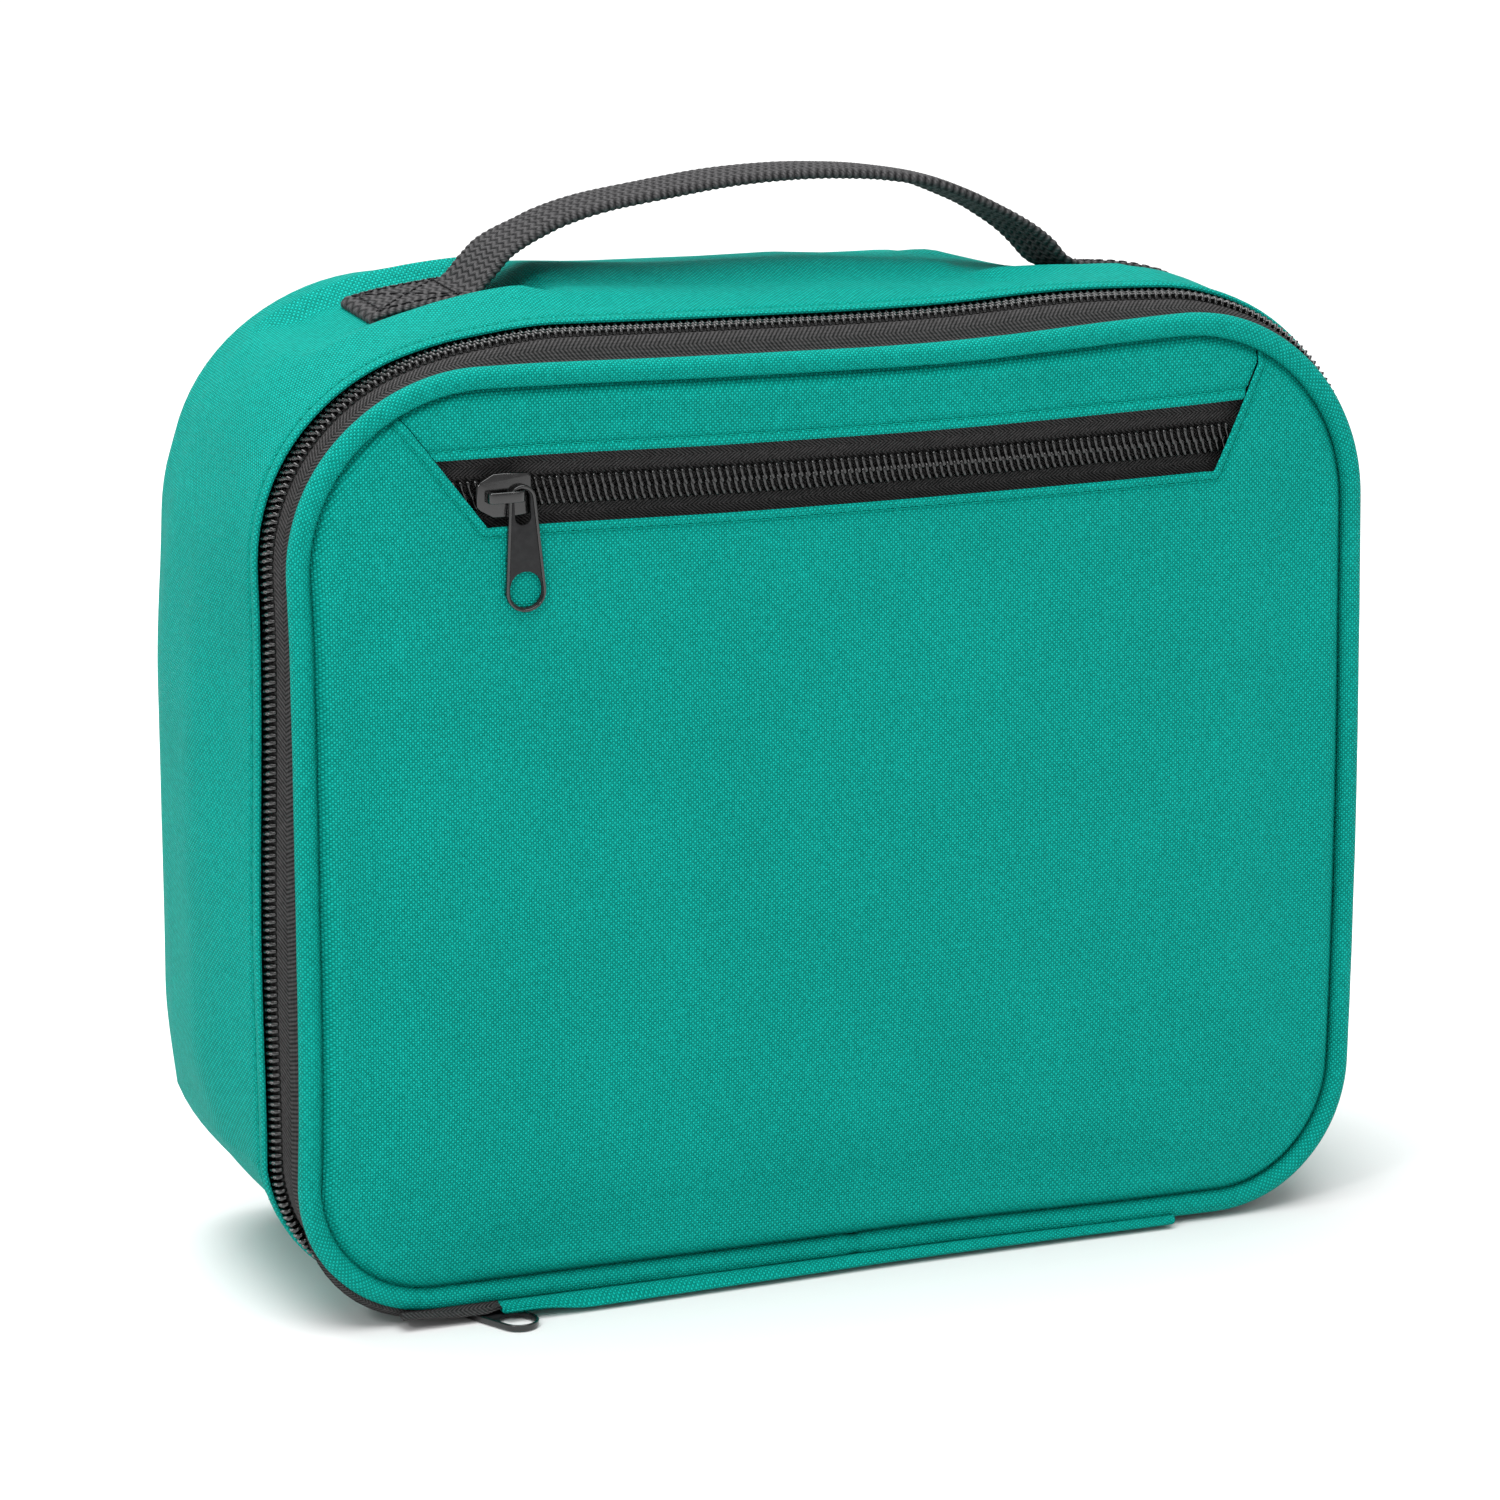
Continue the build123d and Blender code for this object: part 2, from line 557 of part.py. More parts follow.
def sewn_end(span):
    """Folded webbing lying on the top fabric between two places."""
    band(HANDLE_OUT, bag_outline(-LAYER_GAP), *STRAP_SIDES)
    block(span, EVERYWHERE, (HEIGHT / 2, FAR), Mode.INTERSECT)


def strap(left, right):
    """Part of the arched strap between two places."""
    with BuildSketch(Plane.XZ.offset(-STRAP_SIDES[1])) as edge:
        with BuildLine():
            low = Spline(ARCH_POINTS)
            high = Spline([(x, z + WEB) for x, z in ARCH_POINTS])
            Line(low @ 0, high @ 0)
            Line(low @ 1, high @ 1)
        make_face()
    extrude(edge.sketch, amount=WEB_WIDTH)
    block((left, right), EVERYWHERE, EVERYWHERE, Mode.INTERSECT)


def stitching(span):
    """Box-and-cross thread pattern standing on a sewn end."""
    surface = -LAYER_GAP - 2 * WEB
    band(bag_outline(surface - STITCH), bag_outline(surface), *STRAP_SIDES)
    length = span[1] - span[0] - 2 * STITCH_INSET
    across = WEB_WIDTH - 2 * STITCH_INSET
    slant = (length**2 + across**2) ** 0.5
    lean = Vector(length, across, 0).get_angle(Vector(1, 0, 0))
    with BuildSketch(Plane.XY.offset(HEIGHT / 2)) as pattern:
        with Locations(((span[0] + span[1]) / 2, HANDLE_Y)):
            Rectangle(length, across)
            Rectangle(length - 2 * THREAD, across - 2 * THREAD, mode=Mode.SUBTRACT)
            Rectangle(slant - 2 * THREAD, THREAD, rotation=lean)
            Rectangle(slant - 2 * THREAD, THREAD, rotation=-lean)
    extrude(pattern.sketch, amount=HEIGHT, mode=Mode.INTERSECT)


with BuildPart() as handle_end_left:
    sewn_end(LEFT_END)

with BuildPart() as handle_end_right:
    sewn_end(RIGHT_END)

with BuildPart() as handle_stitching_left:
    stitching(LEFT_END)

with BuildPart() as handle_stitching_right:
    stitching(RIGHT_END)

with BuildPart() as handle_leg_left:
    strap(LEFT_END[1] + LAYER_GAP, LEFT_BEND)

with BuildPart() as handle_leg_right:
    strap(RIGHT_BEND, RIGHT_END[0] - LAYER_GAP)

with BuildPart() as handle_arch:
    strap(LEFT_BEND + MOVE_GAP, RIGHT_BEND - MOVE_GAP)


# ---- labels and files ----------------------------------------------------------------------------
PIECES = {
    "gusset_fabric": gusset_fabric,
    "base_panel": base_panel,
    "back_panel": back_panel,
    "gusset_foam": gusset_foam,
    "base_foam": base_foam,
    "back_foam": back_foam,
    "shell_liner": shell_liner,
    "mouth_binding": mouth_binding,
    "hinge_strip": hinge_strip,
    "rear_zip_tape": rear_zip_tape,
    "rear_zip_coil": rear_zip_coil,
    "zip_stop_left": zip_stop_left,
    "zip_stop_right": zip_stop_right,
    "lid_zip_tape": lid_zip_tape,
    "lid_zip_coil": lid_zip_coil,
    "edge_piping": edge_piping,
    "piping_cord": piping_cord,
    "lid_seam_allowance": lid_seam_allowance,
    "pocket_front_panel": pocket_front_panel,
    "upper_front_panel": upper_front_panel,
    "pocket_back_panel": pocket_back_panel,
    "lid_foam": lid_foam,
    "lid_liner": lid_liner,
    "lid_binding": lid_binding,
    "pocket_tape_lower": pocket_tape_lower,
    "pocket_tape_upper": pocket_tape_upper,
    "pocket_coil_lower": pocket_coil_lower,
    "pocket_coil_upper": pocket_coil_upper,
    "main_slider": main_slider,
    "main_puller": main_puller,
    "pocket_slider": pocket_slider,
    "pocket_puller": pocket_puller,
    "handle_end_left": handle_end_left,
    "handle_end_right": handle_end_right,
    "handle_stitching_left": handle_stitching_left,
    "handle_stitching_right": handle_stitching_right,
    "handle_leg_left": handle_leg_left,
    "handle_leg_right": handle_leg_right,
    "handle_arch": handle_arch,
}

for name, piece in PIECES.items():
    piece.part.label = name
    export_step(piece.part, f"parts/{name}.step")
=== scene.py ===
"""Looks of the soft zip-around lunch bag: woven cloth, coil zips, piping, webbing handle, sliders and lining.

Sizes are in millimetres inside the classes and become metres when a mesh is made.
"""
import logging
import math
from dataclasses import dataclass
from enum import Enum
from typing import Any, Callable, Sequence

import bmesh
import bpy
import numpy as np
from mathutils import Matrix, Vector, noise


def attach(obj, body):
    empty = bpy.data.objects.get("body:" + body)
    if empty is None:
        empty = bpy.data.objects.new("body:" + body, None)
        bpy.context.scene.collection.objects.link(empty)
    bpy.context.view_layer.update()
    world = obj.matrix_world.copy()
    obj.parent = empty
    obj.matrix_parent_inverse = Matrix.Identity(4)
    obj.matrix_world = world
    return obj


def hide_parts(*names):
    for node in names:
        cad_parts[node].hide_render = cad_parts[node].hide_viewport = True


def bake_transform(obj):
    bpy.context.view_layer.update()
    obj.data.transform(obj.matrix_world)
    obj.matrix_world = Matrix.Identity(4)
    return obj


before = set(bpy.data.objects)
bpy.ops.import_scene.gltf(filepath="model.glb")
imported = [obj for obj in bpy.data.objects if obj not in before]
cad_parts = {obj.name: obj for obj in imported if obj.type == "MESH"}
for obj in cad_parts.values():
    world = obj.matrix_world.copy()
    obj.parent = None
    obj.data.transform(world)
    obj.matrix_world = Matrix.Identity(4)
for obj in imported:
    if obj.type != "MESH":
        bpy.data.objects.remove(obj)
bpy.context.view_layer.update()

MM = 0.001
LOG = logging.getLogger("lunch_bag")
Array = np.ndarray


class Across(Enum):
    """Direction across a row of repeated shapes."""

    BACKWARD = (0.0, 1.0, 0.0)
    FORWARD = (0.0, -1.0, 0.0)
    UP = (0.0, 0.0, 1.0)
    DOWN = (0.0, 0.0, -1.0)


# ---- shader maths ---------------------------------------------------------------------------------
class Value:
    """One shader output that takes part in Python arithmetic."""

    def __init__(self, paint: "Paint", socket: bpy.types.NodeSocket) -> None:
        """Keep the node tree's builder and the socket."""
        self.paint = paint
        self.socket = socket

    def math(self, operation: str, left: Any, right: Any = None) -> "Value":
        """Add a Math node.

        Args:
            operation: Blender's name of the operation.
            left: First value or number.
            right: Second value or number, if the operation takes one.

        Returns:
            The node's output.
        """
        sockets = {0: left} if right is None else {0: left, 1: right}
        return self.paint.node("ShaderNodeMath", {"operation": operation}, sockets)

    def __add__(self, other: Any) -> "Value":
        """Sum."""
        return self.math("ADD", self, other)

    def __radd__(self, other: Any) -> "Value":
        """Sum, number first."""
        return self.math("ADD", other, self)

    def __sub__(self, other: Any) -> "Value":
        """Difference."""
        return self.math("SUBTRACT", self, other)

    def __rsub__(self, other: Any) -> "Value":
        """Difference, number first."""
        return self.math("SUBTRACT", other, self)

    def __mul__(self, other: Any) -> "Value":
        """Product."""
        return self.math("MULTIPLY", self, other)

    def __rmul__(self, other: Any) -> "Value":
        """Product, number first."""
        return self.math("MULTIPLY", other, self)

    def __truediv__(self, other: Any) -> "Value":
        """Quotient."""
        return self.math("DIVIDE", self, other)

    def __pow__(self, other: Any) -> "Value":
        """Power."""
        return self.math("POWER", self, other)

    def __gt__(self, other: Any) -> "Value":
        """One where the value is greater."""
        return self.math("GREATER_THAN", self, other)

    def __abs__(self) -> "Value":
        """Size without sign."""
        return self.math("ABSOLUTE", self)

    def sine(self) -> "Value":
        """Sine."""
        return self.math("SINE", self)

    def zigzag(self, size: float) -> "Value":
        """Up and down between 0 and size."""
        return self.math("PINGPONG", self, size)


class Paint:
    """Builds the nodes of one material."""

    def __init__(self, name: str) -> None:
        """Start an empty material with a Principled shader.

        Args:
            name: Material name.
        """
        self.material = bpy.data.materials.new(name)
        self.material.use_nodes = True
        self.tree = self.material.node_tree
        self.tree.nodes.clear()
        self.shader = self.tree.nodes.new("ShaderNodeBsdfPrincipled")
        output = self.tree.nodes.new("ShaderNodeOutputMaterial")
        self.tree.links.new(self.shader.outputs[0], output.inputs[0])

    def node(self, kind: str, settings: dict[str, Any], sockets: dict[Any, Any], out: Any = 0) -> Value:
        """Add a node.

        Args:
            kind: Blender's type name.
            settings: Node properties, set first.
            sockets: Values or links by socket index or name.
            out: Index or name of the output that is wanted.

        Returns:
            The chosen output.
        """
        made = self.tree.nodes.new(kind)
        for key, setting in settings.items():
            setattr(made, key, setting)
        for key, value in sockets.items():
            if isinstance(value, Value):
                self.tree.links.new(value.socket, made.inputs[key])
            else:
                made.inputs[key].default_value = value
        return Value(self, made.outputs[out])

    def mix(self, share: Any, first: Any, second: Any) -> Value:
        """Mix two colours.

        Args:
            share: How much of the second colour.
            first: Colour or link.
            second: Colour or link.

        Returns:
            The mixed colour.
        """
        settings = {"data_type": "RGBA", "clamp_factor": True}
        return self.node("ShaderNodeMix", settings, {0: share, 6: first, 7: second}, 2)

    def uv(self) -> tuple[Value, Value]:
        """Return the cloth coordinates in millimetres.

        Returns:
            The coordinates along and across the cloth.
        """
        cloth = self.node("ShaderNodeUVMap", {"uv_map": "cloth"}, {})
        split = self.node("ShaderNodeSeparateXYZ", {}, {0: cloth})
        return split, Value(self, split.socket.node.outputs[1])

    def place(self) -> Value:
        """Return the object coordinates."""
        return self.node("ShaderNodeTexCoord", {}, {}, "Object")

    def noise(self, size: float, detail: float = 2.0) -> Value:
        """Soft noise on object coordinates.

        Args:
            size: Size of its patches in millimetres.
            detail: Octaves.

        Returns:
            A value around one half.
        """
        sockets = {"Vector": self.place(), "Scale": 1.0 / (size * MM), "Detail": detail}
        return self.node("ShaderNodeTexNoise", {}, sockets)

    def finish(self, **sockets: Any) -> bpy.types.Material:
        """Set or link the Principled shader's sockets.

        Args:
            **sockets: Values by socket name, with _ for a blank.

        Returns:
            The material.
        """
        for key, value in sockets.items():
            target = self.shader.inputs[key.replace("_", " ")]
            if isinstance(value, Value):
                self.tree.links.new(value.socket, target)
            else:
                target.default_value = value
        return self.material

    def bump(self, height: Value, depth: float, strength: float = 1.0) -> Value:
        """Turn a height into a normal.

        Args:
            height: From 0 to 1.
            depth: Full height in millimetres.
            strength: How much of it shows.

        Returns:
            The normal.
        """
        sockets = {"Strength": strength, "Distance": depth * MM, "Height": height}
        return self.node("ShaderNodeBump", {}, sockets)


Colour = tuple[float, float, float, float]


@dataclass(frozen=True)
class PlainWeave:
    """Coated plain-weave cloth with lighter specks where the warp lies on top; the specks are painted
    highlights on the thread crowns, and the darker hollows between threads are painted shade.
    """

    name: str
    deep: Colour
    lit: Colour
    thread: float = 0.54
    depth: float = 0.24
    gloss: float = 0.62
    shine: float = 0.06

    def make(self) -> bpy.types.Material:
        """Return the material.

        Returns:
            The procedural material.
        """
        paint = Paint(self.name)
        u, v = paint.uv()
        wander = (paint.noise(6.0) - 0.5) * 0.5
        warp = ((u / self.thread + wander) * math.pi).sine()
        weft = ((v / self.thread + wander) * math.pi).sine()
        cell = warp * weft
        dome = abs(cell) ** 0.6
        over = cell > 0.0
        patch = paint.noise(1.1, 3.0)
        cloud = paint.noise(28.0, 3.0)
        # painted highlight on the thread crowns (dome), strongest where the warp is on top, and painted shade
        # between threads; patch and cloud add random tone
        share = dome * (0.16 + 0.66 * over) + (patch - 0.5) * 0.55 + (cloud - 0.5) * 0.16
        colour = paint.mix(share, self.deep, self.lit)
        rough = self.gloss + 0.12 * (1.0 - dome)
        normal = paint.bump(dome * 0.8 + patch * 0.2, self.depth)
        return paint.finish(Base_Color=colour, Roughness=rough, Normal=normal, Specular_IOR_Level=self.shine)


@dataclass(frozen=True)
class Herringbone:
    """Woven tape with slanted ribs that turn at each column, with a painted highlight on the rib crowns and
    painted shade in the grooves.
    """

    name: str
    deep: Colour
    lit: Colour
    rib: float = 0.95
    column: float = 2.2
    depth: float = 0.3

    def make(self) -> bpy.types.Material:
        """Return the material.

        Returns:
            The procedural material.
        """
        paint = Paint(self.name)
        u, v = paint.uv()
        slant = (u + 1.3 * v.zigzag(self.column)) / self.rib
        ribs = abs((slant * math.pi).sine())
        threads = abs((v * (math.pi / 0.4)).sine())
        height = ribs * 0.75 + threads * 0.25
        fuzz = paint.noise(0.8, 3.0)
        # painted highlight on the rib crowns and thread tops, painted shade in the grooves; fuzz adds random
        # tone
        colour = paint.mix(ribs**2.0 * 0.75 + threads * 0.1 + (fuzz - 0.5) * 0.9, self.deep, self.lit)
        normal = paint.bump(height, self.depth)
        return paint.finish(Base_Color=colour, Roughness=0.7 - 0.1 * ribs, Normal=normal,
                            Specular_IOR_Level=0.2)


@dataclass(frozen=True)
class Webbing:
    """Ribbed strap: the ribs are in the mesh, the yarns are drawn here, and the rib crowns carry a painted
    highlight over painted shade between them.
    """

    name: str
    deep: Colour
    lit: Colour
    pitch: float = 1.7

    def make(self) -> bpy.types.Material:
        """Return the material.

        Returns:
            The procedural material.
        """
        paint = Paint(self.name)
        u, v = paint.uv()
        yarns = abs(((u * 0.5 + v) * (math.pi / 0.55)).sine())
        ribs = abs(((u + 0.45 * v.zigzag(2.2)) * (math.pi / self.pitch)).sine())
        fuzz = paint.noise(0.8, 3.0)
        # painted highlight on the rib crowns, brightest on the yarn tops, and painted shade between the ribs;
        # fuzz adds random tone
        share = ribs**1.5 * (0.35 + 0.4 * yarns) + (fuzz - 0.45) * 0.7
        colour = paint.mix(share, self.deep, self.lit)
        normal = paint.bump(ribs * 0.7 + yarns * 0.3, 0.5)
        return paint.finish(Base_Color=colour, Roughness=0.66 + 0.1 * fuzz, Normal=normal,
                            Specular_IOR_Level=0.25)


@dataclass(frozen=True)
class Moulded:
    """Moulded nylon or lacquered metal, with small changes of gloss."""

    name: str
    base: Colour
    worn: Colour
    rough: float
    metal: float = 0.0
    coat: float = 0.0
    grain: float = 1.5
    shine: float = 0.5

    def make(self) -> bpy.types.Material:
        """Return the material.

        Returns:
            The procedural material.
        """
        paint = Paint(self.name)
        speckle = paint.noise(self.grain, 4.0)
        colour = paint.mix((speckle - 0.42) * 1.6, self.base, self.worn)
        rough = self.rough + (speckle - 0.5) * 0.25
        normal = paint.bump(speckle, 0.03)
        return paint.finish(Base_Color=colour, Roughness=rough, Metallic=self.metal, Normal=normal,
                            Coat_Weight=self.coat, Coat_Roughness=0.12, Specular_IOR_Level=self.shine)


@dataclass(frozen=True)
class FoilFilm:
    """Silver film with soft creases, with painted shade in their hollows and a painted highlight on their
    crests.
    """

    name: str

    def make(self) -> bpy.types.Material:
        """Return the material.

        Returns:
            The procedural material.
        """
        paint = Paint(self.name)
        crease = paint.noise(16.0, 5.0)
        grain = paint.noise(1.2, 2.0)
        # painted shade in the crease hollows and painted highlight on their crests, following the bump's
        # noise
        colour = paint.mix(crease, (0.52, 0.53, 0.55, 1.0), (0.74, 0.75, 0.77, 1.0))
        normal = paint.bump(crease * 0.9 + grain * 0.1, 1.6, 0.6)
        return paint.finish(Base_Color=colour, Roughness=0.3 + 0.15 * grain, Metallic=0.75, Normal=normal)


@dataclass(frozen=True)
class PaleFloor:
    """Plain pale studio floor."""

    name: str
    tone: float

    def make(self) -> bpy.types.Material:
        """Return the material.

        Returns:
            The procedural material.
        """
        paint = Paint(self.name)
        patch = paint.noise(300.0)
        low, high = self.tone - 0.005, self.tone + 0.005
        colour = paint.mix(patch, (low, low, low, 1.0), (high, high, high, 1.0))
        return paint.finish(Base_Color=colour, Roughness=0.85, Specular_IOR_Level=0.1)


# In the woven finishes, lit is the colour of the painted highlight on thread and rib crowns and deep the
# colour of the painted shade between them; random tone also moves between the two
TEAL = PlainWeave("teal_plain_weave", (0.0003, 0.215, 0.170, 1.0), (0.008, 0.590, 0.510, 1.0))
TEAL_THREAD = Moulded("teal_thread", (0.001, 0.28, 0.22, 1.0), (0.004, 0.40, 0.34, 1.0), 0.6, grain=0.6,
                      shine=0.08)
BLACK_TAPE = Herringbone("black_woven_tape", (0.010, 0.010, 0.010, 1.0), (0.072, 0.069, 0.070, 1.0))
BLACK_WEBBING = Webbing("black_webbing", (0.006, 0.006, 0.007, 1.0), (0.115, 0.112, 0.115, 1.0))
BLACK_COIL = Moulded("black_nylon_coil", (0.004, 0.004, 0.004, 1.0), (0.020, 0.020, 0.021, 1.0), 0.2,
                     coat=0.5)
BLACK_LACQUER = Moulded("black_lacquer", (0.003, 0.003, 0.003, 1.0), (0.010, 0.010, 0.011, 1.0), 0.17,
                        coat=0.6)
MATTE_LACQUER = Moulded("matte_black_lacquer", (0.008, 0.008, 0.009, 1.0), (0.026, 0.026, 0.027, 1.0), 0.5,
                        shine=0.3)
BLACK_THREAD = Moulded("black_thread", (0.006, 0.006, 0.007, 1.0), (0.030, 0.030, 0.032, 1.0), 0.6, grain=0.6,
                       shine=0.2)
FOIL = FoilFilm("silver_film")
FLOOR = PaleFloor("studio_floor", 0.86)


class Wardrobe:
    """Makes each finish once."""

    def __init__(self) -> None:
        """Start empty."""
        self.made: dict[str, bpy.types.Material] = {}

    def __call__(self, finish: Any) -> bpy.types.Material:
        """Return the finish's material.

        Args:
            finish: The finish.

        Returns:
            Its material, made once.
        """
        if finish.name not in self.made:
            self.made[finish.name] = finish.make()
        return self.made[finish.name]


WARDROBE = Wardrobe()


# ---- meshes ---------------------------------------------------------------------------------------
def new_object(name: str, mesh: bpy.types.Mesh) -> bpy.types.Object:
    """Put a mesh in the scene as an object at the origin.

    Args:
        name: Object name.
        mesh: Its mesh.

    Returns:
        The object, linked to the scene.
    """
    made = bpy.data.objects.new(name, mesh)
    bpy.context.scene.collection.objects.link(made)
    return made


def grid_mesh(name: str, points: Array, cloth: Array, wraps: tuple[bool, bool] = (False, False),
              caps: bool = False) -> bpy.types.Object:
    """Make a mesh from a grid of points.

    Args:
        name: Piece name.
        points: Positions in millimetres, rows x columns x 3.
        cloth: Cloth coordinates in millimetres, with one more row or column where the grid wraps.
        wraps: Whether the rows and the columns close on themselves.
        caps: Whether the first and last rows are filled.

    Returns:
        The new object, smooth shaded.
    """
    rows, columns = points.shape[:2]
    mesh = bpy.data.meshes.new(name)
    i, j = np.meshgrid(np.arange(rows - (not wraps[0])), np.arange(columns - (not wraps[1])), indexing="ij")
    i, j = i.ravel(), j.ravel()
    ahead, across = (i + 1) % rows, (j + 1) % columns
    quads = np.stack([i * columns + j, ahead * columns + j, ahead * columns + across,
                      i * columns + across], 1)
    faces = quads.tolist()
    corners = np.stack([cloth[i, j], cloth[i + 1, j], cloth[i + 1, j + 1], cloth[i, j + 1]], 1).reshape(-1, 2)
    if caps:
        last = (rows - 1) * columns
        faces.append(list(range(columns)))
        faces.append([last + k for k in reversed(range(columns))])
        corners = np.concatenate([corners, cloth[0, :columns], cloth[-1, :columns][::-1]])
    mesh.from_pydata((points.reshape(-1, 3) * MM).tolist(), [], faces)
    layer = mesh.uv_layers.new(name="cloth")
    layer.data.foreach_set("uv", corners.astype(np.float32).ravel())
    made = new_object(name, mesh)
    turn_outward(made)
    return made


def turn_outward(piece: bpy.types.Object) -> None:
    """Point every face outward and shade it smooth.

    Args:
        piece: The object, changed in place.
    """
    work = bmesh.new()
    work.from_mesh(piece.data)
    bmesh.ops.recalc_face_normals(work, faces=work.faces)
    work.to_mesh(piece.data)
    work.free()
    piece.data.polygons.foreach_set("use_smooth", [True] * len(piece.data.polygons))
    piece.data.update()


def settle(piece: bpy.types.Object) -> bpy.types.Object:
    """Turn the modifiers of a piece into its own plain mesh.

    Args:
        piece: The object.

    Returns:
        The same object with no modifiers left.
    """
    graph = bpy.context.evaluated_depsgraph_get()
    mesh = bpy.data.meshes.new_from_object(piece.evaluated_get(graph))
    piece.modifiers.clear()
    piece.data = mesh
    return piece


SLUMP_X = (-125.0, -75.0, -25.0, 25.0, 75.0, 125.0)
SLUMP_Z = (0.0, 50.0, 100.0, 150.0, 180.0, 209.0)
SLUMP = np.array([
    [(0.0, -1.0), (0.3, -1.0), (0.8, -1.2), (1.3, -1.2), (2.0, -2.2), (2.5, -2.4)],
    [(1.6, 0.0), (1.9, 0.0), (2.2, 0.0), (2.6, 0.0), (3.0, 0.0), (3.3, 0.0)],
    [(1.7, 0.0), (1.9, 0.0), (2.2, 0.0), (2.5, 0.0), (2.8, 0.0), (3.2, 0.0)],
    [(1.4, 0.3), (1.2, 0.5), (1.2, 0.0), (1.4, 0.0), (1.8, 0.2), (2.2, 0.5)],
    [(0.4, 0.6), (0.0, 1.0), (0.3, -0.1), (0.5, -0.4), (0.8, 0.2), (1.4, 1.4)],
    [(0.0, 0.0), (0.0, 0.6), (0.0, -0.6), (0.2, -1.2), (0.4, 1.2), (0.8, 2.2)],
])  # how far the soft bag leans from its drawn shape, along x and z, by height and width


def slumped(x: Array, z: Array) -> Array:
    """Return how far the soft bag leans along x and z at each place, in millimetres.

    Args:
        x: Places across, in millimetres.
        z: Heights, in millimetres.

    Returns:
        Leans along x and z, one row a place.
    """
    rows = np.interp(np.ravel(z), SLUMP_Z, np.arange(len(SLUMP_Z)))
    columns = np.interp(np.ravel(x), SLUMP_X, np.arange(len(SLUMP_X)))
    return spread(SLUMP, rows, columns)


def slump(piece: bpy.types.Object, body: str) -> None:
    """Lean a soft piece with the rest of the bag, keeping its base on the floor.

    Args:
        piece: The object.
        body: CAD body it rides on.
    """
    count = len(piece.data.vertices)
    spots = np.zeros(count * 3, np.float32)
    piece.data.vertices.foreach_get("co", spots)
    spots = spots.reshape(-1, 3) / MM
    lean = slumped(spots[:, 0], spots[:, 2])
    if body == "bag":
        lean *= smooth_step(spots[:, 2], 0.0, 7.0)[:, None]
    spots[:, 0] += lean[:, 0]
    spots[:, 2] += lean[:, 1]
    piece.data.vertices.foreach_set("co", (spots * MM).astype(np.float32).ravel())
    piece.data.update()


def dress(piece: bpy.types.Object, finish: Any, body: str, slot: str, *nodes: str,
          soft: bool = True) -> bpy.types.Object:
    """Give a piece its finish, its body and the CAD nodes it stands for.

    Args:
        piece: The object.
        finish: One of the finishes above.
        body: CAD body it rides on, or "" to attach it to none.
        slot: Material slot of the record; it is not used.
        *nodes: CAD nodes that it replaces.
        soft: Whether it leans with the bag.

    Returns:
        The same object.
    """
    if soft:
        slump(piece, body)
    piece.data.materials.clear()
    piece.data.materials.append(WARDROBE(finish))
    if body:
        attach(piece, body)
    if nodes:
        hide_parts(*nodes)
    LOG.info("%s: %d faces", piece.name, len(piece.data.polygons))
    return piece


def join(name: str, parts: Sequence[bpy.types.Object]) -> bpy.types.Object:
    """Join meshes that have no modifiers into one object.

    Args:
        name: Name of the result.
        parts: The objects, which are used up.

    Returns:
        The one object.
    """
    work = bmesh.new()
    for part in parts:
        work.from_mesh(part.data)
        bpy.data.objects.remove(part)
    mesh = bpy.data.meshes.new(name)
    work.to_mesh(mesh)
    work.free()
    made = new_object(name, mesh)
    return made


def smooth_step(value: Any, low: float, high: float) -> Any:
    """Rise smoothly from 0 at low to 1 at high."""
    share = np.clip((np.asarray(value, float) - low) / (high - low), 0.0, 1.0)
    return share * share * (3.0 - 2.0 * share)


def wave(points: Array, size: float, seed: float) -> Array:
    """Smooth noise at each point, between about -1 and 1.

    Args:
        points: Positions in millimetres, any shape x 3.
        size: Length of a wave in millimetres.
        seed: Moves the pattern.

    Returns:
        One value for each point.
    """
    flat = points.reshape(-1, 3) / size
    values = [noise.noise(Vector((x + seed, y, z))) for x, y, z in flat.tolist()]
    return np.array(values).reshape(points.shape[:-1])


def cubic(field: Array, at: Array) -> Array:
    """Read a table between its rows with smooth curves.

    Args:
        field: Rows of values.
        at: Row numbers, with fractions.

    Returns:
        The values at those rows.
    """
    base = np.floor(at).astype(int)
    t = (at - base).reshape(-1, *[1] * (field.ndim - 1))
    rows = [field[np.clip(base + k, 0, len(field) - 1)] for k in (-1, 0, 1, 2)]
    return (rows[1] + 0.5 * t * (rows[2] - rows[0] + t * (2 * rows[0] - 5 * rows[1] + 4 * rows[2] - rows[3]
            + t * (3 * (rows[1] - rows[2]) + rows[3] - rows[0]))))


def spread(field: Array, rows: Array, columns: Array) -> Array:
    """Read a grid of values at matching row and column numbers with fractions.

    Args:
        field: Values on rows and columns, the last axis being their parts.
        rows: Row number of each reading.
        columns: Column number of each reading.

    Returns:
        One smoothly interpolated row of parts a reading.
    """
    base = np.floor(columns).astype(int)
    t = (columns - base)[:, None]
    reads = []
    for k in (-1, 0, 1, 2):
        column = np.clip(base + k, 0, field.shape[1] - 1)
        low = np.floor(rows).astype(int)
        s = (rows - low)[:, None]
        p = [field[np.clip(low + m, 0, len(field) - 1), column] for m in (-1, 0, 1, 2)]
        reads.append(p[1] + 0.5 * s * (p[2] - p[0] + s * (2 * p[0] - 5 * p[1] + 4 * p[2] - p[3]
                     + s * (3 * (p[1] - p[2]) + p[3] - p[0]))))
    a, b, c, d = reads
    return b + 0.5 * t * (c - a + t * (2 * a - 5 * b + 4 * c - d + t * (3 * (b - c) + d - a)))


